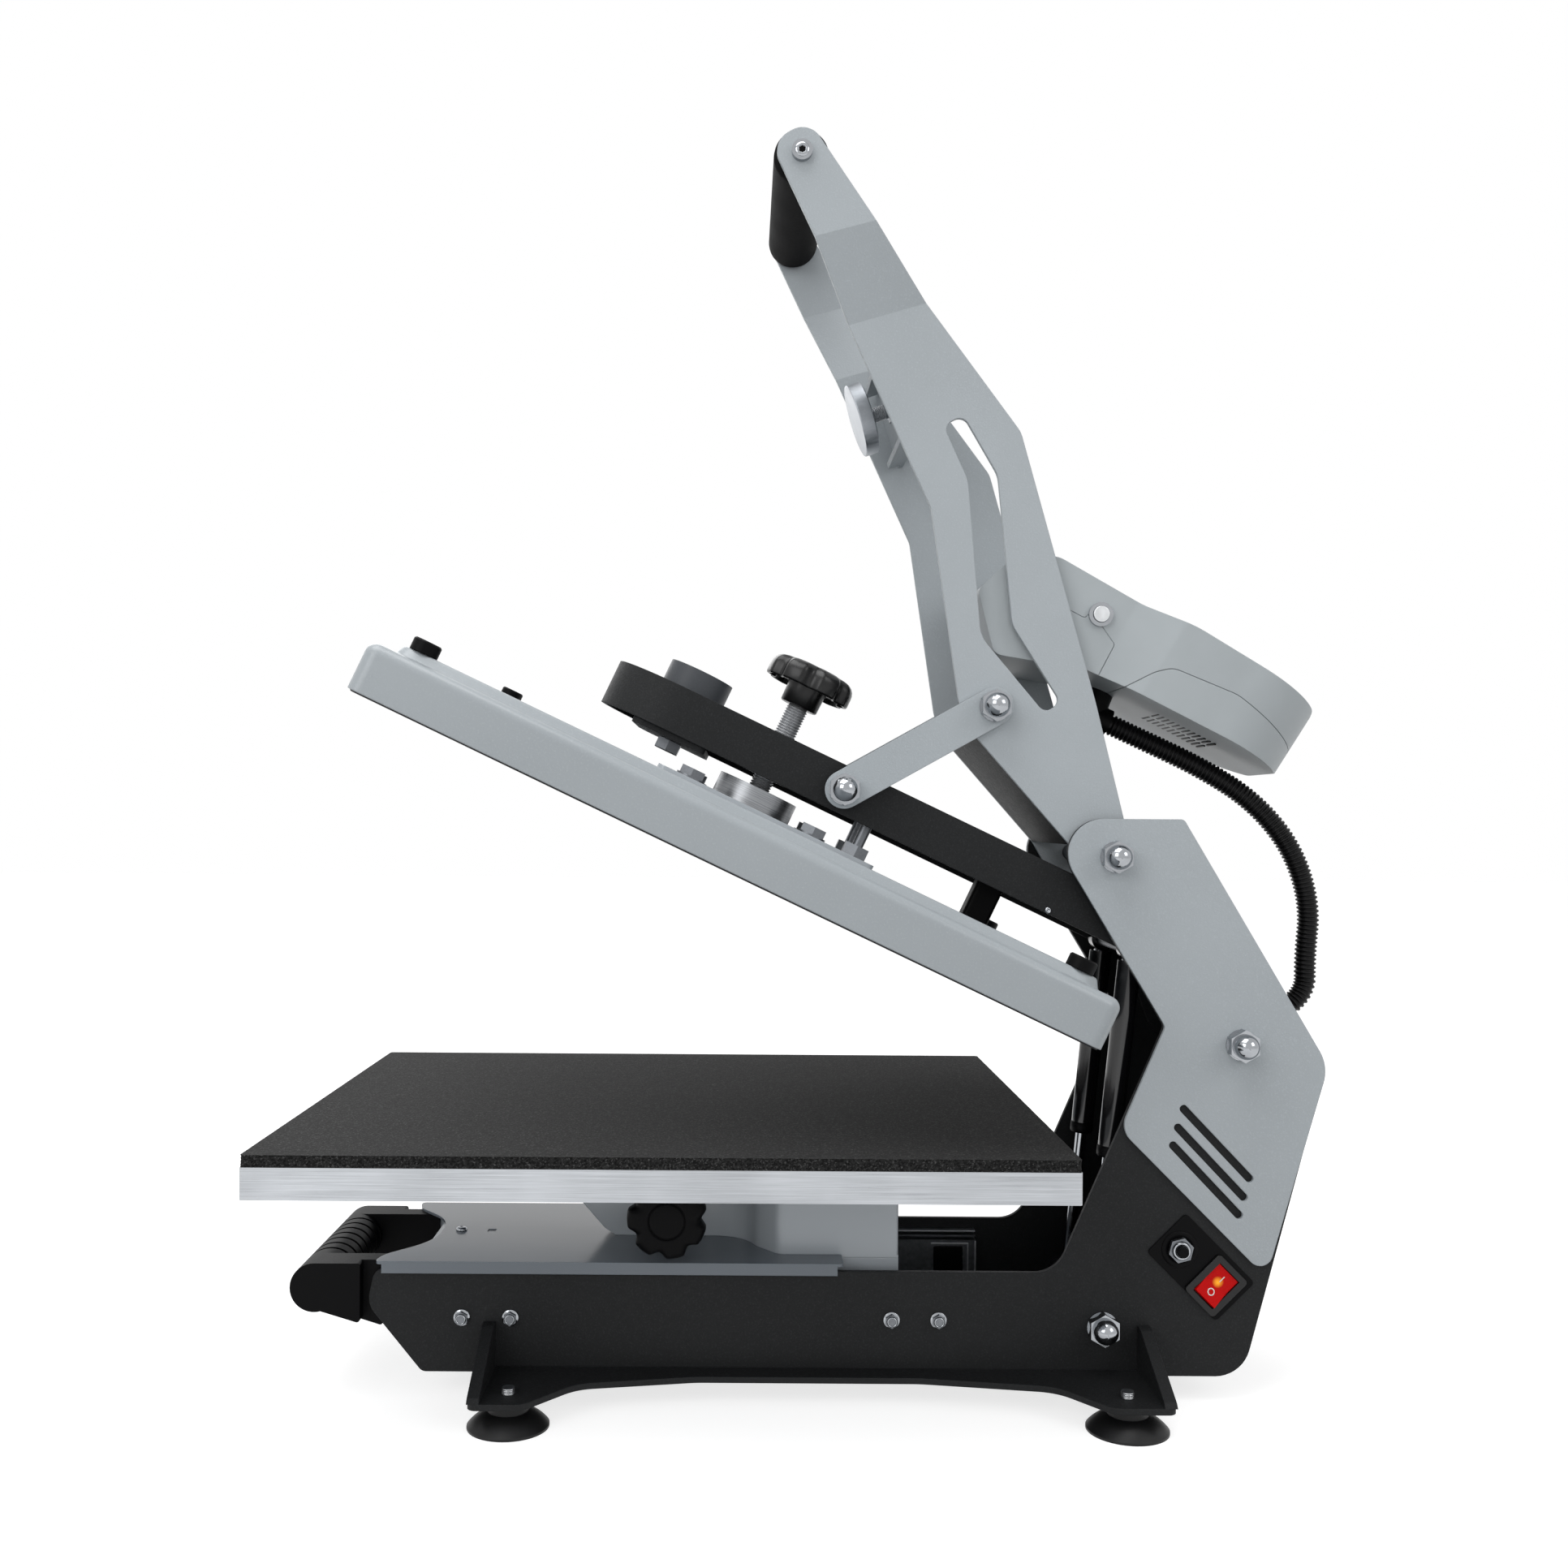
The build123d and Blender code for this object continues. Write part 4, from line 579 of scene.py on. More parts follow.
class Finishes:
    """All finishes of the press, by plain name."""

    made: dict[str, Material] = {}
    known: dict[str, object] = {
        "black coat": PowderCoat(
            "black_powder_coat", srgb(25, 26, 27), grain=900.0, depth=0.0002, strength=0.6,
            roughness=0.6, edge_wear_and_highlight=1.0, speckle=0.7, cloud=0.1, shine=0.2,
        ),
        "grey coat": GREY_COAT,
        "cover coat": replace(GREY_COAT, name="lined_powder_coat", lining=srgb(22, 23, 24)),
        "gloss grey": PowderCoat(
            "glossy_grey_paint", srgb(162, 168, 173), grain=700.0, strength=0.02, roughness=0.28,
            edge_wear_and_highlight=0.16, speckle=0.0, coat=0.4, coarse=0.0, cloud=0.015, shine=0.4,
        ),
        "drawer grey": PowderCoat(
            "drawer_paint", srgb(106, 113, 120), grain=700.0, strength=0.01, roughness=0.18,
            edge_wear_and_highlight=1.2, speckle=0.0, coarse=0.0, cloud=0.03, shine=0.4,
        ),
        "platen grey": PowderCoat(
            "satin_platen_paint", srgb(146, 152, 156), grain=700.0, depth=0.0002, strength=0.2,
            roughness=0.36, edge_wear_and_highlight=0.0, speckle=0.07, coat=0.2, coarse=0.2, cloud=0.03, shine=0.4,
        ),
        "coated plate": PowderCoat(
            "dark_release_coat", srgb(38, 38, 40), grain=1100.0, strength=0.2, roughness=0.5,
            edge_wear_and_highlight=0.4, speckle=0.2, shine=0.2,
        ),
        "magnet": PowderCoat(
            "magnet_housing", srgb(66, 69, 73), grain=1200.0, strength=0.2, roughness=0.45, shine=0.25
        ),
        "aluminium": BrushedMetal(
            "milled_aluminium", srgb(173, 176, 180), stretch=(60.0, 12.0, 1500.0), contrast=0.26
        ),
        "ring steel": BrushedMetal(
            "turned_ring", srgb(150, 152, 155), stretch=(14.0, 14.0, 2400.0), roughness=0.36,
            contrast=0.5, tilt=OPENING,
        ),
        "disc steel": BrushedMetal(
            "ground_disc", srgb(150, 154, 159), stretch=(500.0, 60.0, 60.0), roughness=0.4, contrast=0.16
        ),
        "zinc": BrushedMetal(
            "zinc_plate", srgb(118, 121, 125), stretch=FINE_STREAKS, roughness=0.4, contrast=0.2
        ),
        "screw": BrushedMetal(
            "screw_steel", srgb(172, 174, 177), stretch=FINE_STREAKS, roughness=0.34, contrast=0.1,
            metallic=0.55,
        ),
        "bright": Polished("bright_plating", srgb(162, 165, 169)),
        "button": Polished("button_face", srgb(206, 208, 210), roughness=0.3),
        "foam": Sponge("foam_sleeve", srgb(9, 9, 10), cells=1300.0, openness=0.3, sheen=0.0),
        "pad": Sponge(
            "sponge_pad", srgb(33, 33, 33), cells=560.0, openness=1.0, skin=0.12, sheen=0.02,
            mottle=1.1, uneven=0.2,
        ),
        "controller grey": Moulded(
            "controller_plastic", srgb(158, 164, 167), roughness=0.42, grain=1100.0, strength=0.14
        ),
        "rubber": Moulded("foot_rubber", srgb(14, 14, 15), grain=1500.0, strength=0.15),
        "black plastic": Moulded(
            "black_plastic", srgb(5, 5, 6), roughness=0.45, grain=1500.0, strength=0.2, shine=0.08
        ),
        "gas tube": Moulded(
            "gas_tube_paint", srgb(14, 14, 16), roughness=0.1, grain=1500.0, strength=0.005, coat=0.3,
            shine=0.5,
        ),
        "gloss black": Moulded(
            "gloss_black_plastic", srgb(10, 10, 11), roughness=0.3, grain=1500.0, strength=0.02, coat=0.1
        ),
        "hose": Moulded("hose_plastic", srgb(9, 9, 10), grain=1600.0, strength=0.05, shine=0.18),
        "window": Moulded(
            "display_window", srgb(10, 12, 16), roughness=0.08, grain=500.0, strength=0.01, coat=0.6
        ),
        "white mark": Moulded(
            "white_mark", srgb(222, 222, 218), roughness=0.5, grain=2400.0, strength=0.05
        ),
        "red lens": LitLens(
            "lit_red_lens", srgb(170, 5, 5), srgb(255, 176, 50), tuple(at(75.0, 326.7, 80.9)),
            reach=0.004, strength=0.35,
        ),
    }

    @classmethod
    def get(cls, name: str) -> Material:
        """The material of that name, made at its first use."""
        if name not in cls.made:
            cls.made[name] = cls.known[name].material()
        return cls.made[name]


CAD_NODES: dict[str, tuple[str, ...]] = {
    "black coat": (
        "side_plate_right", "side_plate_left", "foot_flanges", "base_spine", "handle_channel",
        "beam_channel", "magnet_clamp",
    ),
    "cover coat": ("side_cover_right", "side_cover_left"),
    "rubber": ("suction_feet",),
    "zinc": (
        "outer_rails", "middle_rails", "inner_rails", "pivot_shafts", "base_fasteners", "breaker_body",
        "platen_bracket", "grip_core", "beam_pins", "platen_bolts",
    ),
    "bright": ("pivot_nuts", "handle_bolts", "push_button_ring", "link_nuts", "gas_rods"),
    "black plastic": (
        "power_inlet", "hose_gland", "switch_panel", "breaker_button", "drawer_handle", "clamp_knob",
        "hose_elbow", "cable_duct", "cover_caps",
    ),
    "gloss black": ("switch_bezel", "pressure_knob"),
    "red lens": ("rocker_switch",),
    "drawer grey": ("drawer_cover",),
    "gloss grey": ("drawer_chassis", "pedestal", "stiffener_plate"),
    "aluminium": ("lower_platen",),
    "grey coat": ("handle_arm_right", "handle_arm_left", "armature_bracket", "links"),
    "disc steel": ("armature",),
    "controller grey": ("controller_upper_shell", "controller_lower_shell"),
    "window": ("controller_display",),
    "button": ("push_button",),
    "magnet": ("electromagnet",),
    "platen grey": ("heater_cover",),
    "coated plate": ("heat_plate",),
    "ring steel": ("thrust_ring",),
    "screw": ("pressure_screw",),
    "gas tube": ("gas_tubes",),
}


def dress_frame() -> None:
    """Give every carried-over CAD node its finish."""
    for finish, nodes in CAD_NODES.items():
        for node in nodes:
            mesh = frame["nodes"][node].data
            mesh.materials.clear()
            mesh.materials.append(Finishes.get(finish))
            log.info("node %s: %s", node, finish)


# ------------------------------------------------------------------ mesh helpers


def added(name: str, data: bpy.types.ID) -> Piece:
    """A new object in the scene."""
    made = bpy.data.objects.new(name, data)
    bpy.context.scene.collection.objects.link(made)
    return made


def new_piece(
    name: str, body: str, mesh: Mesh, finish: str, slot: str | None = None, smooth: bool = True
) -> Piece:
    """Make a mesh into a finished piece that rides on a body.

    Args:
        name: Piece name.
        body: CAD body that it rides on.
        mesh: Its mesh, in the row frame.
        finish: Name of its finish.
        slot: Not used.
        smooth: Whether its faces shade smooth.

    Returns:
        The piece.
    """
    piece = added(name, mesh)
    mesh.materials.clear()
    mesh.materials.append(Finishes.get(finish))
    for polygon in mesh.polygons:
        polygon.use_smooth = smooth
    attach(piece, body)
    log.info("piece %s on %s: %d faces", name, body, len(mesh.polygons))
    return piece


def mesh_of(name: str, build: Callable[[Shape], None]) -> Mesh:
    """A mesh filled in by a function, closed seams merged and faces turned outwards."""
    shape = bmesh.new()
    build(shape)
    bmesh.ops.remove_doubles(shape, verts=shape.verts, dist=1e-6)
    bmesh.ops.recalc_face_normals(shape, faces=shape.faces)
    mesh = bpy.data.meshes.new(name)
    shape.to_mesh(mesh)
    shape.free()
    return mesh


def ring_stack(shape: Shape, rings: Rings, closed: bool = False) -> None:
    """Skin a row of equal rings, which closes on itself as round a torus or gets two flat ends."""
    rows = [[shape.verts.new(point) for point in ring] for ring in rings]
    count = len(rows[0])
    for low, high in zip(rows, rows[1:] + rows[:1] if closed else rows[1:]):
        for index in range(count):
            after = (index + 1) % count
            shape.faces.new((low[index], low[after], high[after], high[index]))
    if not closed:
        shape.faces.new(rows[0])
        shape.faces.new(list(reversed(rows[-1])))


def arc(start: float, stop: float, steps: int) -> list[float]:
    """Angles of equal steps between two, given in degrees, with both ends."""
    return [math.radians(start + (stop - start) * step / steps) for step in range(steps + 1)]


def turns(count: int) -> list[float]:
    """Angles of equal steps once round."""
    return [2 * math.pi * step / count for step in range(count)]


def skinned(name: str, rings: Rings) -> Mesh:
    """A mesh skinned over rings, with both ends closed."""
    return mesh_of(name, lambda shape: ring_stack(shape, rings))


# ------------------------------------------------------------------ hose


@dataclass
class Hose:
    """Ribbed hose from the gland on the back to the elbow under the controller."""

    radius: float = 7.6 * MM
    rib_depth: float = 1.2 * MM
    ribs: int = 90
    plain_end: float = 2.0 * MM
    sides: int = 28
    rows_per_rib: int = 8
    route: Profile = (
        (268.0, 461.5), (294.0, 449.5), (336.0, 430.0), (374.0, 406.0), (402.0, 372.5), (415.0, 332.0),
        (411.5, 294.0),
    )
    rear_top: Pair = (HANDLE_PIVOT[0] + 45.9, HANDLE_PIVOT[1] + 25.6)
    rear_bend: Pair = (BEAM_PIVOT[0] + 58.9, BEAM_PIVOT[1] - 13.9)
    gland_height: float = 250.5
    gland_length: float = 13.0
    turn_in: float = 17.0

    def points(self) -> list[Vector]:
        """Route points from the elbow to the tip of the gland, as the CAD has them."""
        top, bend = self.rear_top, self.rear_bend
        slope = Vector((0, bend[0] - top[0], bend[1] - top[1])).normalized()
        away = Vector((0, -slope.z, slope.y))
        rise = (self.gland_height - top[1]) / slope.z
        foot = Vector((0, top[0] + rise * slope.y, self.gland_height))
        tip = foot + away * self.gland_length
        inward = tip + away * self.turn_in
        flat = [Vector((0, y, z)) for y, z in self.route] + [inward, tip]
        return [at(point.x, point.y, point.z) for point in flat]

    def spline(self) -> Piece:
        """The route as a smooth open NURBS spline with no bevel."""
        curve = bpy.data.curves.new("hose_route", "CURVE")
        curve.dimensions = "3D"
        line = curve.splines.new("NURBS")
        points = self.points()
        line.points.add(len(points) - 1)
        for place, point in zip(line.points, points):
            place.co = (*point, 1.0)
        line.order_u = 3
        line.use_endpoint_u = True
        line.resolution_u = 24
        return added("hose_route", curve)

    def read_path(self, route: Piece) -> list[Vector]:
        """Points of the evaluated spline."""
        bpy.context.view_layer.update()
        shown = route.evaluated_get(bpy.context.evaluated_depsgraph_get())
        mesh = bpy.data.meshes.new_from_object(shown)
        return [vertex.co.copy() for vertex in mesh.vertices]

    def tree(self) -> Tree:
        """Geometry nodes that turn the route into a ribbed tube."""
        made = GrowthBuilder("ribbed_tube", {
            "Radius": Socket.FLOAT, "Rib Depth": Socket.FLOAT, "Ribs": Socket.INT,
            "Plain End": Socket.FLOAT, "Sides": Socket.INT, "Rows": Socket.INT,
        })
        calc, given = made.calc, made.given
        plain, depth = given["Plain End"], given["Rib Depth"]
        inputs = {"Curve": given["Geometry"], "Count": calc("MULTIPLY", given["Ribs"], given["Rows"])}
        line = made.add("GeometryNodeResampleCurve", inputs).outputs[0]
        along = made.add("GeometryNodeSplineParameter").outputs["Length"]
        span = made.add("GeometryNodeSplineLength").outputs["Length"]
        near = calc("MINIMUM", calc("SUBTRACT", span, along), along)
        gate = calc("GREATER_THAN", calc("SUBTRACT", near, plain), 0.0)
        waves = calc("MULTIPLY", given["Ribs"], 2 * math.pi)
        ribbed = calc("SUBTRACT", span, calc("MULTIPLY", plain, 2.0))
        share = calc("DIVIDE", calc("SUBTRACT", along, plain), ribbed)
        wave = calc("COSINE", calc("MULTIPLY", share, waves))
        flatter = made.ranged(wave, 0.0, 1.0, 0.7, -0.7, interpolation_type="SMOOTHSTEP")
        raised = calc("MULTIPLY", calc("MULTIPLY", flatter, gate), depth)
        reach = calc("ADD", calc("SUBTRACT", given["Radius"], depth), raised)
        sized = made.add("GeometryNodeSetCurveRadius", {"Curve": line, "Radius": reach}).outputs[0]
        inputs = {"Resolution": given["Sides"], "Radius": 1.0}
        ring = made.add("GeometryNodeCurvePrimitiveCircle", inputs).outputs[0]
        inputs = {"Curve": sized, "Profile Curve": ring, "Fill Caps": True}
        tube = made.add("GeometryNodeCurveToMesh", inputs)
        if "Scale" in tube.inputs:
            made.tree.links.new(made.add("GeometryNodeInputRadius").outputs[0], tube.inputs["Scale"])
        return made.finish(made.add("GeometryNodeSetShadeSmooth", {0: tube.outputs[0]}).outputs[0])

    def build(self) -> Piece:
        """Make the hose in place of its CAD node.

        Returns:
            The hose piece.
        """
        route = self.spline()
        path = self.read_path(route)
        length = sum((b - a).length for a, b in zip(path, path[1:]))
        mesh = grown(
            route, self.tree(),
            {
                "Radius": self.radius, "Rib Depth": self.rib_depth, "Ribs": self.ribs,
                "Plain End": self.plain_end, "Sides": self.sides, "Rows": self.rows_per_rib,
                "Material": Finishes.get("hose"),
            },
        )
        bpy.data.objects.remove(route)
        hose = new_piece("ribbed_hose", "base", mesh, "hose", "hose_black")
        hose.parent = None
        del hose["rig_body"]
        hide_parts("hose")
        tuple(path[0].lerp(path[1], 0.5))
        tuple(path[-1])
        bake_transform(hose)
        tuple(path[0])
        [tuple(point) for point in path]
        log.info("hose length %.3f m", length)
        return hose


def grown(target: Piece, tree: Tree, values: dict[str, object]) -> Mesh:
    """Run a geometry node tree on an object and keep the result as a plain mesh.

    Args:
        target: Object that the modifier goes on.
        tree: Geometry node tree.
        values: The tree's inputs by name.

    Returns:
        The new mesh.
    """
    modifier = target.modifiers.new("grown", "NODES")
    modifier.node_group = tree
    for item in tree.interface.items_tree:
        if item.item_type == "SOCKET" and item.in_out == "INPUT" and item.name in values:
            modifier[item.identifier] = values[item.name]
    bpy.context.view_layer.update()
    graph = bpy.context.evaluated_depsgraph_get()
    mesh = bpy.data.meshes.new_from_object(
        target.evaluated_get(graph), preserve_all_data_layers=True, depsgraph=graph
    )
    target.modifiers.remove(modifier)
    return mesh


# ------------------------------------------------------------------ soft pieces


@dataclass
class SoftPads:
    """The sponge pad on the lower platen and the foam sleeve on the grip."""

    pad_corner: float = 2.5 * MM
    pad_rows: int = 9
    pad_pores: float = 0.8 * MM
    pad_grain: Profile = ((950.0, 1.6), (2100.0, 0.8))
    pad_end_share: float = 0.35
    cell: float = 1.1 * MM
    foam_sides: int = 64
    foam_rows: int = 60
    foam_inset: float = 0.3 * MM
    foam_rounding: float = 4.0 * MM
    foam_wave: float = 0.15 * MM
    foam_half_waves: int = 7

    def edge_walk(self, low: Vector, high: Vector) -> Spots:
        """Points and outward directions round the pad's outline, about one cell apart."""
        walk = []
        radius, middle = self.pad_corner, (low.y + high.y) / 2
        corners = ((high.x, high.y), (low.x, high.y), (low.x, low.y), (high.x, low.y))
        centres = [
            Vector((x - math.copysign(radius, x), y - math.copysign(radius, y - middle), 0))
            for x, y in corners
        ]
        for index, centre in enumerate(centres):
            for turn in arc(90 * index, 90 * index + 90, 4):
                out = Vector((math.cos(turn), math.sin(turn), 0))
                walk.append((centre + out * radius, out))
            first, last = centre + out * radius, centres[(index + 1) % 4] + out * radius
            count = int((last - first).length / self.cell)
            walk += [(first.lerp(last, i / count), out) for i in range(1, count)]
        return walk

    def pad(self) -> Piece:
        """The sponge pad with its rough cut edge, replacing its CAD solid."""
        low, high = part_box("silicone_pad")
        walk = self.edge_walk(low, high)
        rings = []
        for row in range(self.pad_rows + 1):
            z = low.z + (high.z - low.z) * (row / self.pad_rows)
            depth = self.pad_pores * (self.pad_end_share if row in (0, self.pad_rows) else 1.0)
            ring = []
            for spot, out in walk:
                place = Vector((spot.x, spot.y, z))
                rough = sum(abs(noise.noise(place * scale)) * share for scale, share in self.pad_grain)
                ring.append(place - out * min(rough, 1.0) * depth)
            rings.append(ring)
        piece = new_piece(
            "sponge_pad", "drawer", skinned("sponge_pad", rings), "pad", "pad_black", smooth=False
        )
        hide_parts("silicone_pad")
        return piece

    def foam(self) -> Piece:
        """The foam sleeve, slightly uneven along its length, replacing its CAD solid."""
        low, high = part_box("grip_foam")
        centre = (low + high) / 2
        radius = (high.z - low.z) / 2 - self.foam_inset
        rounding = self.foam_rounding
        rings = []
        for row in range(self.foam_rows + 1):
            share = row / self.foam_rows
            x = low.x + (high.x - low.x) * share
            short = max(rounding - min(x - low.x, high.x - x), 0.0)
            drop = rounding - math.sqrt(max(rounding**2 - short**2, 0.0))
            swell = self.foam_wave * math.sin(self.foam_half_waves * share * math.pi)
            ring = []
            for turn in turns(self.foam_sides):
                reach = radius - drop + swell * math.sin(turn * 2)
                y, z = centre.y + reach * math.cos(turn), centre.z + reach * math.sin(turn)
                ring.append(Vector((x, y, z)))
            rings.append(ring)
        piece = new_piece("foam_sleeve", "handle", skinned("foam_sleeve", rings), "foam", "foam_black")
        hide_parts("grip_foam")
        return piece

    def build(self) -> None:
        """Make both pieces."""
        self.pad()
        self.foam()


# ------------------------------------------------------------------ repeated small parts


@dataclass(frozen=True)
class Axes:
    """A place with three axes, which carries shapes drawn about the local origin."""

    origin: Vector
    across: Vector
    along: Vector
    out: Vector

    def place(self, x: float, y: float, z: float) -> Vector:
        """Row-frame point of a local point in millimetres."""
        return self.origin + (self.across * x + self.along * y + self.out * z) * MM


Block = tuple[Axes, Sequence[float], Sequence[float], Sequence[float]]
SIDE = Vector((1.0, 0.0, 0.0))
REAR = Vector((0.0, 1.0, 0.0))
UP = Vector((0.0, 0.0, 1.0))


def right_side(x: float, y: float, z: float) -> Axes:
    """Axes on the right flank, looking out along +X."""
    return Axes(at(x, y, z), REAR, UP, SIDE)


def left_side(x: float, y: float, z: float) -> Axes:
    """Axes on the left flank, looking out along -X."""
    return Axes(at(-x, y, z), -REAR, UP, -SIDE)


def on_platen(x: float, u: float, n: float) -> Axes:
    """Axes on the tipped platen or beam, looking out of its top."""
    return Axes(on_beam(x, u, n), SIDE, BEAM_ALONG, BEAM_UP)


def repeat_tree(name: str) -> Tree:
    """Geometry nodes that set one part on every point, turned along the point's own axis.

    Args:
        name: Name of the tree.

    Returns:
        The tree, with inputs Part, Loose Turn, Seed and Material.
    """
    labels = {"Part": Socket.OBJECT, "Loose Turn": Socket.FLOAT, "Seed": Socket.INT}
    made = GrowthBuilder(name, labels)
    given = made.given
    points = made.add("GeometryNodeMeshToPoints", {"Mesh": given["Geometry"]}).outputs[0]
    axis = made.add("GeometryNodeInputNamedAttribute", {"Name": "facing"}, data_type="FLOAT_VECTOR")
    aimed = made.add("FunctionNodeAlignRotationToVector", {"Vector": axis.outputs[0]}, axis="Z")
    inputs = {2: 0.0, 3: given["Loose Turn"], "Seed": given["Seed"]}
    turn = made.add("FunctionNodeRandomValue", inputs, data_type="FLOAT").outputs[1]
    spun = made.add("FunctionNodeAxisAngleToRotation", {"Axis": (0.0, 0.0, 1.0), "Angle": turn})
    inputs = {0: aimed.outputs[0], 1: spun.outputs[0]}
    both = made.add("FunctionNodeRotateRotation", inputs, rotation_space="LOCAL").outputs[0]
    part = made.add("GeometryNodeObjectInfo", {"Object": given["Part"]}).outputs["Geometry"]
    inputs = {"Points": points, "Instance": part, "Rotation": both}
    return made.finish(made.add("GeometryNodeInstanceOnPoints", inputs).outputs[0])


@dataclass
class Repeat:
    """One small part set on many places."""

    name: str
    body: str
    finish: str
    rings: Profile
    sides: int = 24
    loose_turn: float = 0.0
    seed: int = 3
    smooth: bool = True

    def build(self, places: Spots) -> Piece:
        """Make the part and its copies.

        Args:
            places: Row-frame point and facing of each copy.

        Returns:
            The piece with all copies in it.
        """
        rings = turned_rings(Axes(Vector(), SIDE, REAR, UP), self.rings, self.sides)
        part = added(self.name + "_unit", skinned(self.name + "_unit", rings))
        seats = bpy.data.meshes.new(self.name + "_seats")
        seats.from_pydata([tuple(place) for place, _ in places], [], [])
        facing = seats.attributes.new("facing", "FLOAT_VECTOR", "POINT")
        for item, (_, axis) in zip(facing.data, places):
            item.vector = axis
        holder = added(self.name + "_seats", seats)
        mesh = grown(
            holder, repeat_tree(self.name + "_repeat"),
            {
                "Part": part, "Loose Turn": self.loose_turn, "Seed": self.seed,
                "Material": Finishes.get(self.finish),
            },
        )
        for thing in (part, holder):
            bpy.data.objects.remove(thing)
        return new_piece(self.name, self.body, mesh, self.finish, smooth=self.smooth)


def turned_rings(
    axes: Axes, profile: Profile, sides: int, lobing: Lobing | None = None
) -> list[list[Vector]]:
    """Rings of a turned part.

    Args:
        axes: Where the part stands.
        profile: Radius and height of each ring, in millimetres.
        sides: Points round a ring.
        lobing: Factor on the radius by angle and ring number, or None for a round part.

    Returns:
        One list of points for each ring.
    """
    rings = []
    for row, (radius, height) in enumerate(profile):
        ring = []
        for turn in turns(sides):
            reach = radius * (lobing(turn, row) if lobing else 1.0)
            ring.append(axes.place(reach * math.cos(turn), reach * math.sin(turn), height))
        rings.append(ring)
    return rings


def turned_piece(
    name: str, body: str, finish: str, axes: Axes, profile: Profile, sides: int = 48,
    lobing: Lobing | None = None, slot: str | None = None,
) -> Piece:
    """A turned part as a piece of its own.

    Args:
        name: Piece name.
        body: Body that it rides on.
        finish: Its finish.
        axes: Where it stands.
        profile: Radius and height of each ring, in millimetres.
        sides: Points round a ring.
        lobing: Factor on the radius by angle and ring number, or None.
        slot: Passed on to new_piece, not used.

    Returns:
        The piece.
    """
    return new_piece(name, body, skinned(name, turned_rings(axes, profile, sides, lobing)), finish, slot)


def shade_by_angle(piece: Piece, degrees: float) -> None:
    """Keep edges sharper than an angle crisp."""
    for edge in piece.data.edges:
        edge.use_edge_sharp = False
    shape = bmesh.new()
    shape.from_mesh(piece.data)
    for edge in shape.edges:
        edge.smooth = len(edge.link_faces) == 2 and edge.calc_face_angle(0.0) < math.radians(degrees)
    shape.to_mesh(piece.data)
    shape.free()


BOX_FACES = ((0, 3, 2, 1), (4, 5, 6, 7), (0, 1, 5, 4), (1, 2, 6, 5), (2, 3, 7, 6), (3, 0, 4, 7))


def bevelled_boxes(name: str, body: str, finish: str, boxes: Sequence[Block], edge: float) -> Piece:
    """Several blocks with rounded edges as one piece.

    Args:
        name: Piece name.
        body: Body that it rides on.
        finish: Its finish.
        boxes: Axes and limits across, along and out of each block, in millimetres.
        edge: Rounding of the edges, in millimetres.

    Returns:
        The piece.
    """
    def build(shape: Shape) -> None:
        """Make and round every block."""
        for axes, xs, ys, zs in boxes:
            outline = ((xs[0], ys[0]), (xs[1], ys[0]), (xs[1], ys[1]), (xs[0], ys[1]))
            corners = [shape.verts.new(axes.place(x, y, z)) for z in zs for x, y in outline]
            made = [shape.faces.new([corners[i] for i in face]) for face in BOX_FACES]
            edges = list({line for face in made for line in face.edges})
            bmesh.ops.bevel(shape, geom=edges, offset=edge * MM, segments=3, profile=0.7, affect="EDGES")

    piece = new_piece(name, body, mesh_of(name, build), finish)
    shade_by_angle(piece, 40.0)
    return piece


# ------------------------------------------------------------------ pressure screw and knobs


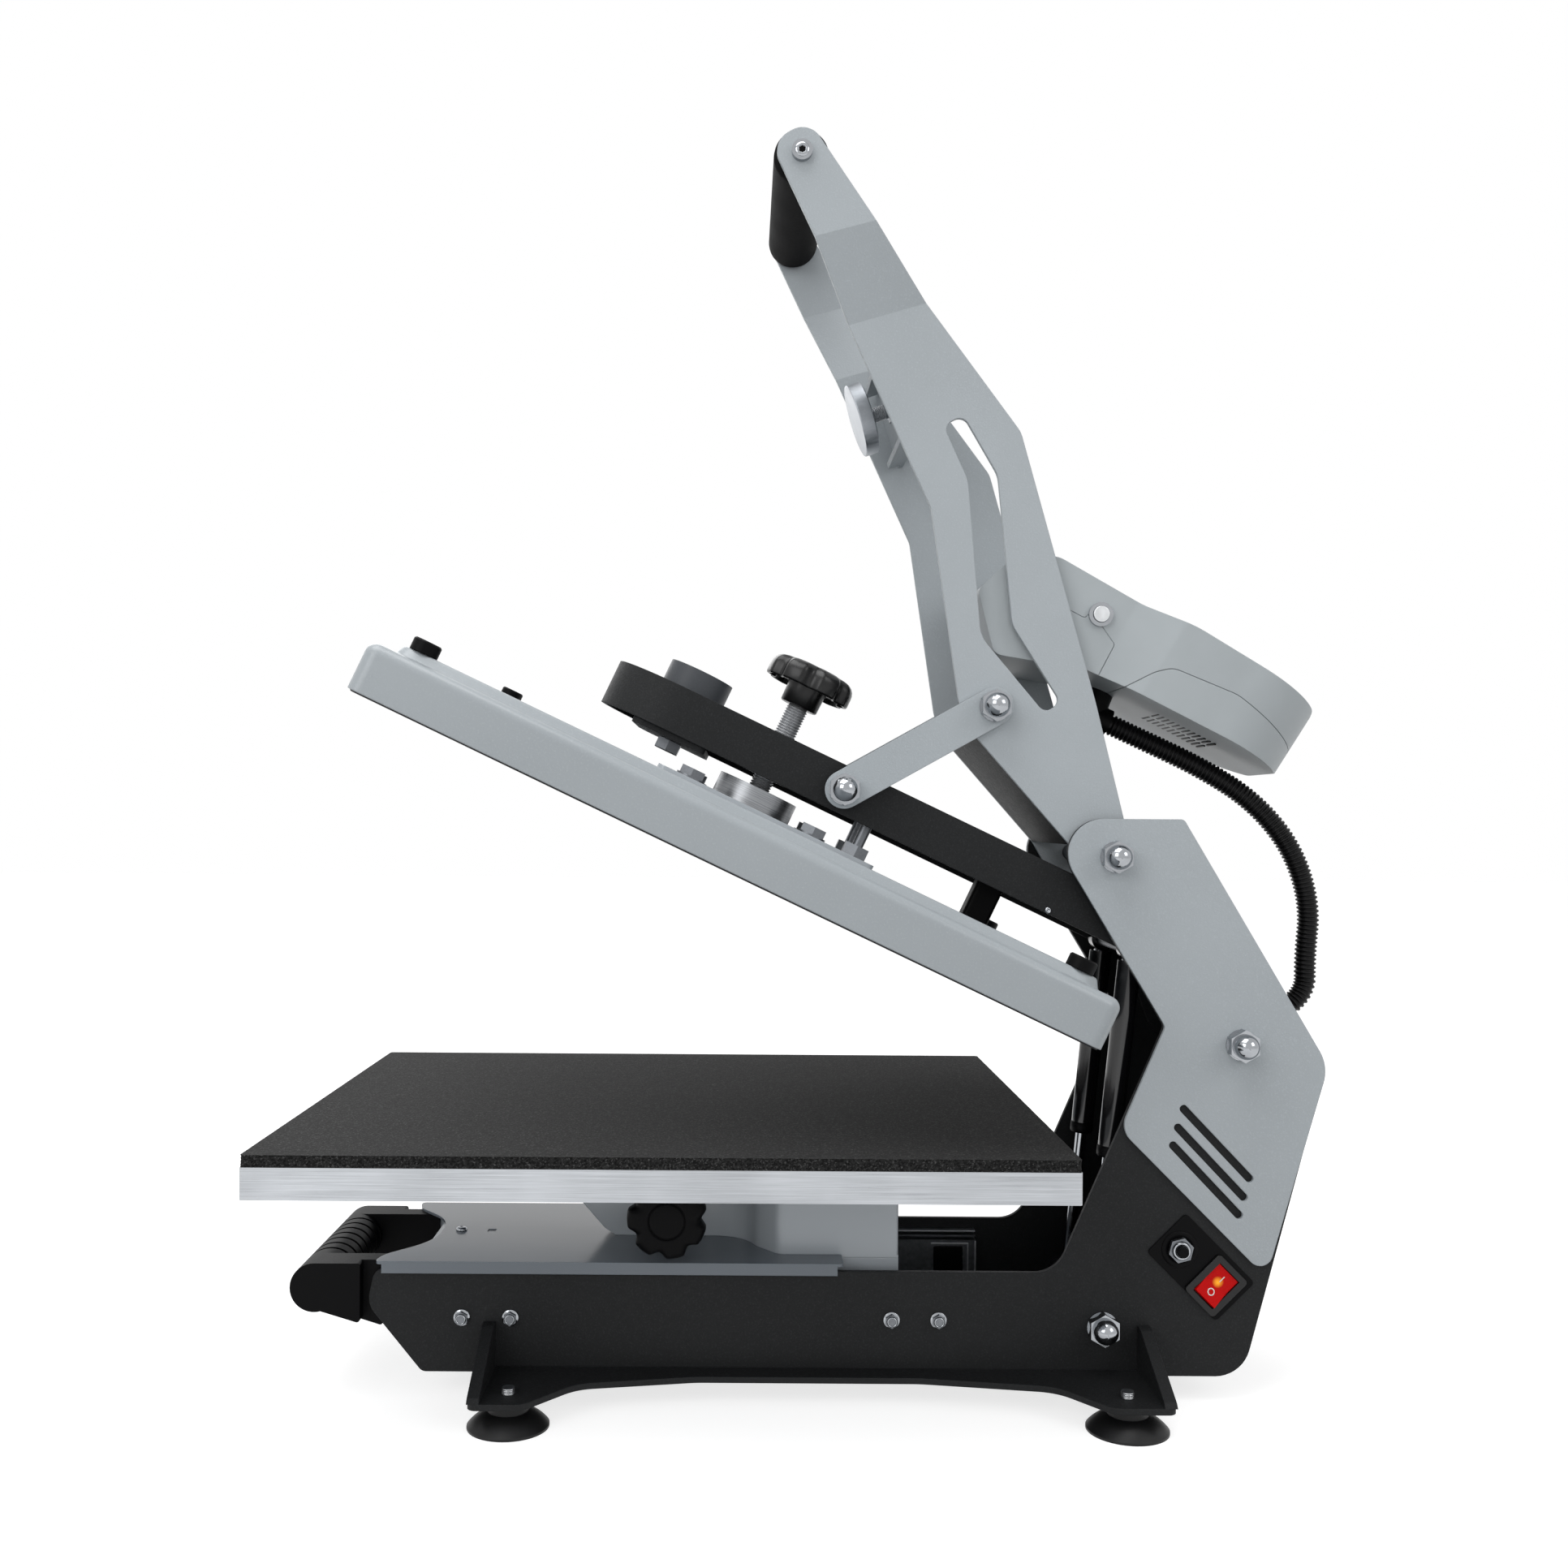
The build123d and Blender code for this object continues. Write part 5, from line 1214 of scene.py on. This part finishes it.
@dataclass
class StarKnob:
    """Moulded hand knob with shallow lobes, a domed crown and a hollow underside."""

    radius: float
    height: float
    lobes: int
    hub_radius: float
    hub_height: float
    stud_radius: float = 0.0
    stud_length: float = 0.0
    notch: float = 0.13

    def profile(self) -> list[Row]:
        """Radius, height and share of lobing of each ring, from the stud to the crown."""
        r, h, hub = self.radius, self.height / 1.06, self.hub_radius
        rows = []
        if self.stud_length:
            stud = self.stud_radius
            rows = [(stud - 0.8, -self.stud_length, 0), (stud, -self.stud_length + 0.8, 0)]
            rows.append((stud, -self.hub_height, 0))
        rows += [
            (hub - 0.8, -self.hub_height, 0), (hub, -self.hub_height + 0.8, 0), (hub + 0.4, 0.0, 0),
            (hub + 1.2, 3.0, 0), (r - 4.2, 3.4, 1), (r - 3.4, 2.4, 1), (r - 3.0, 0.6, 1),
            (r - 2.4, 0.1, 1), (r - 1.4, 0.0, 1), (r - 0.5, 0.4, 1), (r, 1.5, 1), (r, h * 0.45, 1),
            (r - 0.25, h * 0.6, 1), (r - 1.1, h * 0.74, 1), (r - 2.6, h * 0.86, 1),
            (r - 4.8, h * 0.95, 0.9), (r - 8.0, h * 1.0, 0.55), (r * 0.56, h * 1.03, 0.12),
            (r * 0.5, h * 1.035, 0), (r * 0.47, h * 1.02, 0), (r * 0.455, h * 0.975, 0),
            (r * 0.44, h * 0.975, 0), (r * 0.425, h * 1.02, 0), (r * 0.4, h * 1.04, 0),
            (r * 0.2, h * 1.055, 0), (r * 0.03, h * 1.06, 0),
        ]
        return rows

    def build(self, name: str, body: str, finish: str, axes: Axes, node: str, slot: str) -> Piece:
        """Make the knob in place of its CAD node.

        Args:
            name: Piece name.
            body: Body that it rides on.
            finish: Its finish.
            axes: Where the underside of its rim lies.
            node: CAD node that it stands for.
            slot: Passed on, not used.

        Returns:
            The knob.
        """
        rows = self.profile()

        def lobed(turn: float, row: int) -> float:
            """Factor on the radius of a ring."""
            dip = max(0.0, math.cos(self.lobes * turn) + 0.1) ** 1.3
            return 1.0 - self.notch * dip * rows[row][2]

        knob = turned_piece(
            name, body, finish, axes, [(r, z) for r, z, _ in rows], self.lobes * 24, lobed, slot
        )
        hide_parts(node)
        shade_by_angle(knob, 50.0)
        return knob


@dataclass
class PressureScrew:
    """Threaded pressure screw through the beam, its star knob and the knob of the platen's clamp."""

    u: float = -367.0
    bottom: float = 4.5
    hub: float = 81.7
    radius: float = 8.0
    pitch: float = 2.0
    clamp_at: Row = (74.0, -44.5, 123.0)

    def thread_places(self, low: float, high: float) -> Spots:
        """Places of the thread's turns between two heights."""
        count = int((high - low) / self.pitch)
        return [(on_beam(0.0, self.u, low + self.pitch * (i + 0.5)), BEAM_UP) for i in range(count)]

    def build(self) -> None:
        """Make the core, the thread and both knobs."""
        axes = on_platen(0.0, self.u, 0.0)
        core = self.radius - 1.0
        profile = [(core - 1.5, self.bottom), (core, self.bottom + 1.5), (core, self.hub + 2.0)]
        screw = turned_piece(
            "pressure_screw_core", "pressure_screw_body", "screw", axes, profile, slot="zinc_steel"
        )
        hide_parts("pressure_screw")
        low, high = core - 0.2, self.radius - 0.1
        turn = [(low, -0.98), (high, -0.22), (self.radius, 0.0), (high, 0.22), (low, 0.98)]
        thread = Repeat("pressure_screw_thread", "pressure_screw_body", "screw", turn, 48)
        thread.build(self.thread_places(self.bottom + 2.0, self.hub))
        knob = StarKnob(radius=32.0, height=18.0, lobes=7, hub_radius=14.0, hub_height=13.0)
        knob.build(
            "pressure_hand_knob", "pressure_screw_body", "gloss black",
            on_platen(0.0, self.u, self.hub + knob.hub_height), "pressure_knob", "gloss_black",
        )
        clamp = StarKnob(
            radius=27.0, height=16.0, lobes=7, hub_radius=12.0, hub_height=8.0,
            stud_radius=5.0, stud_length=72.0,
        )
        clamp.build(
            "platen_clamp_knob", "platen_clamp", "black plastic",
            right_side(*self.clamp_at), "clamp_knob", "black_plastic",
        )


# ------------------------------------------------------------------ fasteners and small fittings


@dataclass
class SmallFittings:
    """Bolt ends, button heads, thread turns and screws that the CAD keeps plain."""

    slide_bolts: tuple[float, ...] = (-183.0, -150.2, 107.1, 138.8)
    bolt_height: float = 53.3
    plate_outside: float = 73.0
    nut_face: float = 3.9
    grip: Pair = (41.1, 836.2)
    grip_head: float = 87.1
    beam_screw: Row = (57.0, 214.2, 329.7)
    magnet_u: float = -439.7
    beam_underside: float = 23.6
    stud_foot: Pair = (84.3, 678.6)
    stud_tilt: float = 18.2
    stud_pitch: float = 1.25
    stud_runs: tuple[tuple[float, int], ...] = ((11.5, 9), (40.9, 3))
    foot_x: float = 122.5
    feet: Pair = (-144.0, 254.0)
    foot_thread: float = 21.2

    def sides(self, x: float, y: float, z: float) -> Spots:
        """The same place on both flanks."""
        return [(at(x, y, z), SIDE), (at(-x, y, z), -SIDE)]

    def lock_nuts(self) -> None:
        """Collars and washers of the lock nuts on both side plates."""
        face = self.plate_outside + self.nut_face
        places = [spot for y in self.slide_bolts for spot in self.sides(face, y, self.bolt_height)]
        collar = [(3.7, 0.0), (3.6, 0.9), (3.1, 1.5), (2.75, 1.6), (2.7, 0.2), (2.6, 0.2)]
        Repeat("lock_nut_collars", "base", "bright", collar).build(places)
        washer = [(5.4, -3.8), (5.6, -3.6), (5.6, -3.2), (5.4, -3.0)]
        Repeat("lock_nut_washers", "base", "bright", washer).build(places)

    def grip_screws(self) -> None:
        """Button heads with a socket at both ends of the grip."""
        places = self.sides(self.grip_head, *self.grip)
        head = [(5.0, 2.6), (4.9, 3.0), (4.5, 3.4), (3.6, 3.7), (2.8, 3.8), (2.45, 3.6), (2.4, 2.6)]
        Repeat("grip_button_heads", "handle", "bright", head, 36).build(places)
        dark = [(2.35, 2.7), (2.3, 3.0), (0.3, 3.05)]
        Repeat("grip_sockets", "handle", "black plastic", dark, 6, smooth=False).build(places)

    def beam_screws(self) -> None:
        """Small pan screws on the flanks of the beam."""
        places = self.sides(*self.beam_screw)
        head = [(2.3, -0.4), (2.4, 0.2), (2.2, 0.9), (1.6, 1.3), (0.9, 1.45), (0.8, 1.0), (0.1, 0.9)]
        Repeat("beam_side_screws", "beam", "bright", head).build(places)

    def magnet_bolt(self) -> None:
        """Hexagon head of the magnet's bolt, under the beam."""
        head = [(9.0, -12.1), (9.9, -11.6), (9.9, -4.05), (9.0, -4.05)]
        axes = on_platen(0.0, self.magnet_u, self.beam_underside)
        piece = turned_piece("magnet_bolt_head", "beam", "zinc", axes, head, 6)
        shade_by_angle(piece, 20.0)

    def armature_thread(self) -> None:
        """Turns of thread on the armature's stud."""
        turn = math.radians(self.stud_tilt)
        away = Vector((0.0, math.cos(turn), math.sin(turn)))
        start = at(0.0, *self.stud_foot)
        places = [
            (start + away * MM * (low + self.stud_pitch * i), away)
            for low, count in self.stud_runs for i in range(count)
        ]
        ring = [(4.8, -0.6), (5.5, -0.1), (5.5, 0.1), (4.8, 0.6)]
        Repeat("armature_thread", "handle", "screw", ring, 32).build(places)

    def foot_threads(self) -> None:
        """Turns of thread on the four foot studs."""
        places = [
            (at(x, y, self.foot_thread + i), UP)
            for x in (-self.foot_x, self.foot_x) for y in self.feet for i in range(4)
        ]
        ring = [(3.8, -0.45), (4.25, -0.05), (4.25, 0.05), (3.8, 0.45)]
        Repeat("foot_stud_thread", "base", "button", ring, 24).build(places)

    def build(self) -> None:
        """Make all of them."""
        self.lock_nuts()
        self.grip_screws()
        self.beam_screws()
        self.magnet_bolt()
        self.armature_thread()
        self.foot_threads()


# ------------------------------------------------------------------ heated platen


@dataclass
class HeatedPlaten:
    """Pressed cover with two rounded steps, and the coated plate under it."""

    width: float = 400.0
    depth: float = 500.0
    centre_u: float = -366.0
    bottom: float = -41.4
    reveal: float = 1.0
    rim_height: float = 32.7
    corner: float = 10.0
    rim_rounding: float = 7.0
    plateau_inset: float = 12.0
    plateau_height: float = 6.1
    plateau_draft: float = 30.0
    plateau_corner: float = 16.0
    edge_rounding: float = 3.0
    foot_rounding: float = 1.5
    wall: float = 2.0
    plate_height: float = 18.0
    plate_edge: float = 0.5
    plate_corner: float = 7.5
    plate_gap: float = 0.05
    corner_steps: int = 12

    def ring(self, inset: float, n: float, corner: float) -> list[Vector]:
        """Rounded rectangle drawn in by an inset, at a height above the beam line."""
        half_x, half_u = self.width / 2 - inset, self.depth / 2 - inset
        points = []
        for sx, su, start in ((1, 1, 0), (-1, 1, 90), (-1, -1, 180), (1, -1, 270)):
            for turn in arc(start, start + 90, self.corner_steps):
                x = sx * (half_x - corner) + corner * math.cos(turn)
                u = su * (half_u - corner) + corner * math.sin(turn)
                points.append(on_beam(x, self.centre_u + u, n))
        return points

    def cover_profile(self) -> list[Row]:
        """Inset, height and corner radius of the cover's rings, from inside the rim to the top."""
        low = self.bottom + self.reveal
        shoulder = self.bottom + self.rim_height
        top = shoulder + self.plateau_height
        slope = math.tan(math.radians(self.plateau_draft))
        foot = self.plateau_inset + slope
        rows = [
            (self.wall, low + 4.0, 8.0), (self.wall, low, 8.0), (0.4, low, 9.6), (0.0, low + 0.4, 10.0)
        ]
        rim = self.rim_rounding
        for turn in arc(0, 90, 8):
            inset = rim * (1 - math.cos(turn))
            rows.append((inset, shoulder - rim + rim * math.sin(turn), self.corner - inset))
        bend, outer = self.foot_rounding, self.plateau_corner + self.plateau_inset
        start = foot - bend * math.tan(math.radians(30))
        for turn in arc(0, 60, 4):
            inset = start + bend * math.sin(turn)
            rows.append((inset, shoulder + bend * (1 - math.cos(turn)), outer - inset))
        edge = self.edge_rounding
        centre = self.plateau_inset + slope * (self.plateau_height + 1)
        centre += edge * math.tan(math.radians(30))
        for turn in arc(30, 90, 6):
            inset = centre - edge * math.cos(turn)
            rows.append((inset, top - edge * (1 - math.sin(turn)), outer - inset))
        rows.append((centre + 1.5, top, 7.0))
        return rows

    def slab_profile(self) -> list[Row]:
        """Inset, height and corner radius of the coated plate's rings."""
        top, edge, corner = self.bottom + self.plate_height, self.plate_edge, self.plate_corner
        inset = self.wall + self.plate_gap
        return [
            (inset + edge, self.bottom, corner - edge), (inset, self.bottom + edge, corner),
            (inset, top - edge, corner), (inset + edge, top, corner - edge),
        ]

    def build(self) -> None:
        """Make the cover and the plate in place of their CAD solids."""
        cover, slab = self.cover_profile(), self.slab_profile()
        for name, node, finish, slot, crisp, rows in (
            ("pressed_cover", "heater_cover", "platen grey", "heater_grey", 40.0, cover),
            ("coated_plate", "heat_plate", "coated plate", "coated_aluminium", 30.0, slab),
        ):
            mesh = skinned(name, [self.ring(*row) for row in rows])
            piece = new_piece(name, "upper_platen", mesh, finish, slot)
            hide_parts(node)
            shade_by_angle(piece, crisp)


# ------------------------------------------------------------------ switch panel


@dataclass
class SwitchPanel:
    """Label disc and collar of the breaker, and the marks on the rocker."""

    centre: Pair = (315.4, 90.5)
    face: float = 74.0
    breaker: Pair = (-18.5, -1.5)
    rocker: Pair = (15.5, -1.5)
    tilt: float = 8.0
    valley: float = 1.6 / 11.9
    valley_floor: float = 1.8

    def axes(self, a: float, b: float, out: float) -> Axes:
        """Axes on the turned panel: a down its length, b across, out from its face."""
        along = Vector((0.0, 1.0, -1.0)).normalized()
        across = SIDE.cross(along)
        origin = at(self.face, *self.centre) + along * a * MM + across * b * MM + SIDE * out * MM
        return Axes(origin, along, across, SIDE)

    def breaker_trim(self) -> None:
        """Bare label disc and threaded collar round the button."""
        spot = self.axes(*self.breaker, 0.0)
        disc = [
            (9.2, -0.4), (12.3, -0.4), (12.5, 0.1), (12.3, 0.5), (7.6, 0.5), (7.6, -0.4), (9.0, -0.4)
        ]
        turned_piece("breaker_label_ring", "base", "black plastic", spot, disc, 64)
        collar = [(5.6, 3.0), (6.4, 3.4), (6.4, 4.2), (5.9, 4.5), (5.9, 5.0), (5.6, 5.4), (4.5, 5.5)]
        turned_piece("breaker_collar", "base", "bright", spot, collar + [(4.05, 5.1), (4.05, 3.0)])

    def rocker_face(self, b: float, out: float) -> Axes:
        """Axes on one half of the rocker's valley, b across from its middle."""
        base = self.axes(*self.rocker, -1.0)
        turn = math.radians(-self.tilt)
        slope = math.atan(self.valley) * (1 if b > 0 else -1)
        height = self.valley_floor + abs(b) * self.valley + out
        y, z = b * math.cos(turn) - height * math.sin(turn), b * math.sin(turn) + height * math.cos(turn)
        lean = turn + slope
        along = base.along * math.cos(lean) + base.out * math.sin(lean)
        normal = base.out * math.cos(lean) - base.along * math.sin(lean)
        return Axes(base.place(0.0, y, z), base.across, along, normal)

    def marks(self) -> None:
        """White ring on the lower half of the rocker, white bar on the upper."""
        ring = self.rocker_face(-5.6, 0.02)
        profile = [(1.9, -0.3), (2.55, -0.3), (2.6, 0.05), (2.5, 0.12), (1.95, 0.12), (1.85, 0.05)]
        rings = turned_rings(ring, profile, 48)
        mesh = mesh_of("rocker_off_mark", lambda shape: ring_stack(shape, rings, closed=True))
        new_piece("rocker_off_mark", "rocker", mesh, "white mark")
        bar = self.rocker_face(5.6, 0.02)
        stroke = (bar, (-0.35, 0.35), (-2.4, 2.4), (-0.3, 0.12))
        bevelled_boxes("rocker_on_mark", "rocker", "white mark", [stroke], 0.1)

    def build(self) -> None:
        """Make the trim and the marks."""
        self.breaker_trim()
        self.marks()


@dataclass
class VentShade:
    """Painted shade: black strips inside the controller's vents, standing in for the shadow in the
    slots.
    """

    start: Pair = (297.0, 465.7)
    pitch: float = 3.6
    slope: float = -0.538
    rows: Pair = (-7.0, 18.0)
    count: int = 12
    length: Pair = (-9.3, 9.3)
    width: Pair = (-0.7, 0.7)
    depth: Pair = (1.2, 2.2)

    def build(self) -> None:
        """Make one black strip of painted shade inside each slot."""
        turn = math.atan(self.slope)
        along = Vector((0.0, math.cos(turn), math.sin(turn)))
        inward = Vector((0.0, -math.sin(turn), math.cos(turn)))
        boxes = []
        for x in self.rows:
            for index in range(self.count):
                run = self.pitch * index
                spot = at(x, self.start[0] + run, self.start[1] + self.slope * run)
                boxes.append((Axes(spot, SIDE, along, inward), self.length, self.width, self.depth))
        bevelled_boxes("controller_vent_shade", "handle", "black plastic", boxes, 0.05)


# ------------------------------------------------------------------ drawer and springs


@dataclass
class DrawerDetails:
    """Pan screw of the drawer's cover, and the plate under its square hole."""

    cover_top: float = 92.5
    screw_y: float = -196.4
    hole_behind: float = 22.0

    def build(self) -> None:
        """Make both."""
        top = Axes(at(0.0, self.screw_y, self.cover_top), SIDE, REAR, UP)
        head = [(1.8, -3.0), (1.8, -0.1), (3.9, -0.1), (4.1, 0.5), (3.8, 1.5), (2.9, 2.3), (1.3, 2.6)]
        turned_piece("cover_pan_screw", "drawer", "bright", top, head + [(0.8, 1.7), (0.1, 1.5)], 40)
        hole = Axes(at(0.0, self.screw_y + self.hole_behind, self.cover_top), SIDE, REAR, UP)
        plate = (hole, (-3.4, 3.4), (-2.9, 2.9), (-3.2, -0.5))
        bevelled_boxes("cover_hole_plate", "drawer", "zinc", [plate], 0.15)


@dataclass
class SlideTrim:
    """Bright lips of the outer rails and the end catches of the slides."""

    lip_x: float = 59.5
    top: float = 78.65
    end_x: float = 56.3
    front: float = -199.0
    end: float = 184.0
    rear: float = 150.0

    def build(self) -> None:
        """Make the trim of both slides."""
        lips, catches, buffers = [], [], []
        end, x = self.end, self.end_x
        for axes in (right_side(0.0, 0.0, 0.0), left_side(0.0, 0.0, 0.0)):

            def strip(start: float, stop: float, heights: Pair, middle: float, depth: Pair) -> Block:
                """A block along the slide, turned with its side."""
                turned = 1.0 if axes.out.x > 0 else -1.0
                ends = sorted((turned * start, turned * stop))
                return axes, ends, heights, (middle - depth[0], middle + depth[1])

            lip = (self.top - 0.9, self.top - 0.1)
            lips.append(strip(self.front, end - 0.3, lip, self.lip_x, (0.4, 0.2)))
            catches.append(strip(end - 1.0, end + 0.2, (42.0, 71.5), x, (0.5, 0.6)))
            catches.append(strip(self.rear, end - 6.0, (69.0, 70.2), x, (0.8, 0.4)))
            catches.append(strip(end - 6.6, end - 5.6, (44.0, 70.0), x, (0.8, 0.4)))
            buffers.append(strip(self.rear + 2.0, end - 10.0, (46.0, 67.5), x, (1.2, 0.4)))
        bevelled_boxes("rail_lips", "base", "screw", lips, 0.2)
        bevelled_boxes("slide_catches", "drawer", "screw", catches, 0.25)
        bevelled_boxes("slide_buffers", "drawer", "black plastic", buffers, 1.0)


@dataclass
class GasSpringTrim:
    """Bright necks and dark end collars of the two gas springs."""

    offset: float = 42.0
    tube_end: float = 145.0
    head_eye: Pair = (-86.2, 27.8)
    foot_eye: Pair = (249.3, 49.6)
    neck: Profile = ((4.9, 8.2), (5.3, 8.8), (5.3, 10.6), (5.0, 11.2))
    cap: Profile = (
        (4.6, 0.6), (7.4, 0.9), (8.3, -0.4), (8.35, -6.4), (8.05, -7.0), (8.0, -3.0), (4.6, -2.0)
    )

    def axes(self, x: float, distance: float) -> Axes:
        """Axes on a spring's line, a distance below its head eye."""
        head = on_beam(x, *self.head_eye)
        down = (at(x, *self.foot_eye) - head).normalized()
        return Axes(head + down * distance * MM, SIDE, down.cross(SIDE), down)

    def build(self) -> None:
        """Make the trim on both springs."""
        for side, x in (("left", -self.offset), ("right", self.offset)):
            neck, cap = f"spring_neck_{side}", f"spring_end_cap_{side}"
            turned_piece(neck, "spring_tubes", "bright", self.axes(x, 0.0), self.neck, 40)
            turned_piece(cap, "spring_tubes", "black plastic", self.axes(x, self.tube_end), self.cap)


# ------------------------------------------------------------------ studio


@dataclass
class Studio:
    """Pale floor, soft lamps and the camera of the photograph."""

    distance: float = 1.108
    height: float = 0.3915
    focal: float = 35.2
    shift: Pair = (0.03054, 0.02174)
    roll: float = 0.37
    ambient: float = 0.55
    floor_lift: float = 0.74
    reach: float = 9.0

    def camera(self) -> None:
        """Camera looking along -X, as in the photograph."""
        data = bpy.data.cameras.new("photo_camera")
        data.lens = self.focal
        data.sensor_width = 36.0
        data.shift_x, data.shift_y = self.shift
        data.clip_end = 30.0
        camera = added("photo_camera", data)
        turn = Matrix.Rotation(math.radians(90), 4, "Z") @ Matrix.Rotation(math.radians(90), 4, "X")
        turn = turn @ Matrix.Rotation(math.radians(self.roll), 4, "Z")
        camera.matrix_world = Matrix.Translation((self.distance, DATUM_Y, self.height)) @ turn
        bpy.context.scene.camera = camera
        bpy.context.scene.view_settings.view_transform = "Standard"

    def world(self) -> None:
        """White surroundings: full white to the eye and in reflections, softer as light."""
        world = bpy.data.worlds.new("studio_world")
        world.use_nodes = True
        writer = NodeWriter(world.node_tree)
        background = writer.tree.nodes["Background"]
        strength = writer.ranged(writer.in_view(), self.ambient, 1.0)
        writer.tree.links.new(strength, background.inputs["Strength"])
        background.inputs["Color"].default_value = (1.0, 1.0, 1.0, 1.0)
        bpy.context.scene.world = world

    def floor(self) -> None:
        """Large pale floor that keeps the press's shadow."""
        recipe = Recipe("studio_floor")
        recipe.feed("Base Color", recipe.mix(recipe.tone(2.0), (0.44, 0.44, 0.44), (0.46, 0.46, 0.46)))
        recipe.set(Roughness=0.9, Specular_IOR_Level=0.1, Emission_Color=(1.0, 1.0, 1.0, 1.0))
        recipe.feed("Emission Strength", recipe.ranged(recipe.in_view(), 0.0, self.floor_lift))

        def build(shape: Shape) -> None:
            """One wide square."""
            outline = ((-1, -1), (1, -1), (1, 1), (-1, 1))
            shape.faces.new([shape.verts.new((x * self.reach, y * self.reach, 0.0)) for x, y in outline])

        mesh = mesh_of("studio_floor", build)
        mesh.materials.append(recipe.material)
        added("studio_floor", mesh)

    def lamp(
        self, name: str, place: Sequence[float], size: float, power: float, mirrored: bool = True
    ) -> None:
        """A soft square lamp aimed at the press, seen in its reflections or not."""
        data = bpy.data.lights.new(name, "AREA")
        data.shape = "SQUARE"
        data.size = size
        data.energy = power
        lamp = added(name, data)
        lamp.location = place
        lamp.visible_glossy = mirrored
        aim = Vector((0.0, 0.0, 0.4)) - Vector(place)
        lamp.rotation_euler = aim.to_track_quat("-Z", "Y").to_euler()

    def build(self) -> None:
        """Set up the studio."""
        self.camera()
        self.world()
        self.floor()
        self.lamp("top_lamp", (0.4, -0.5, 2.6), 1.8, 40.0)
        self.lamp("front_lamp", (1.9, -1.6, 1.5), 1.4, 18.0)
        self.lamp("rear_lamp", (1.6, 1.9, 1.6), 1.2, 12.0)
        self.lamp("side_lamp", (2.8, 0.1, 0.35), 1.6, 16.0, mirrored=False)
        self.lamp("left_lamp", (-2.0, -0.8, 1.6), 1.4, 12.0)


def main() -> None:
    """Build every sub-assembly in order."""
    logging.basicConfig(level=logging.INFO, format="%(message)s")
    Studio().build()
    dress_frame()
    Hose().build()
    SoftPads().build()
    HeatedPlaten().build()
    PressureScrew().build()
    SmallFittings().build()
    SwitchPanel().build()
    VentShade().build()
    DrawerDetails().build()
    SlideTrim().build()
    GasSpringTrim().build()


if __name__ == "__main__":
    main()
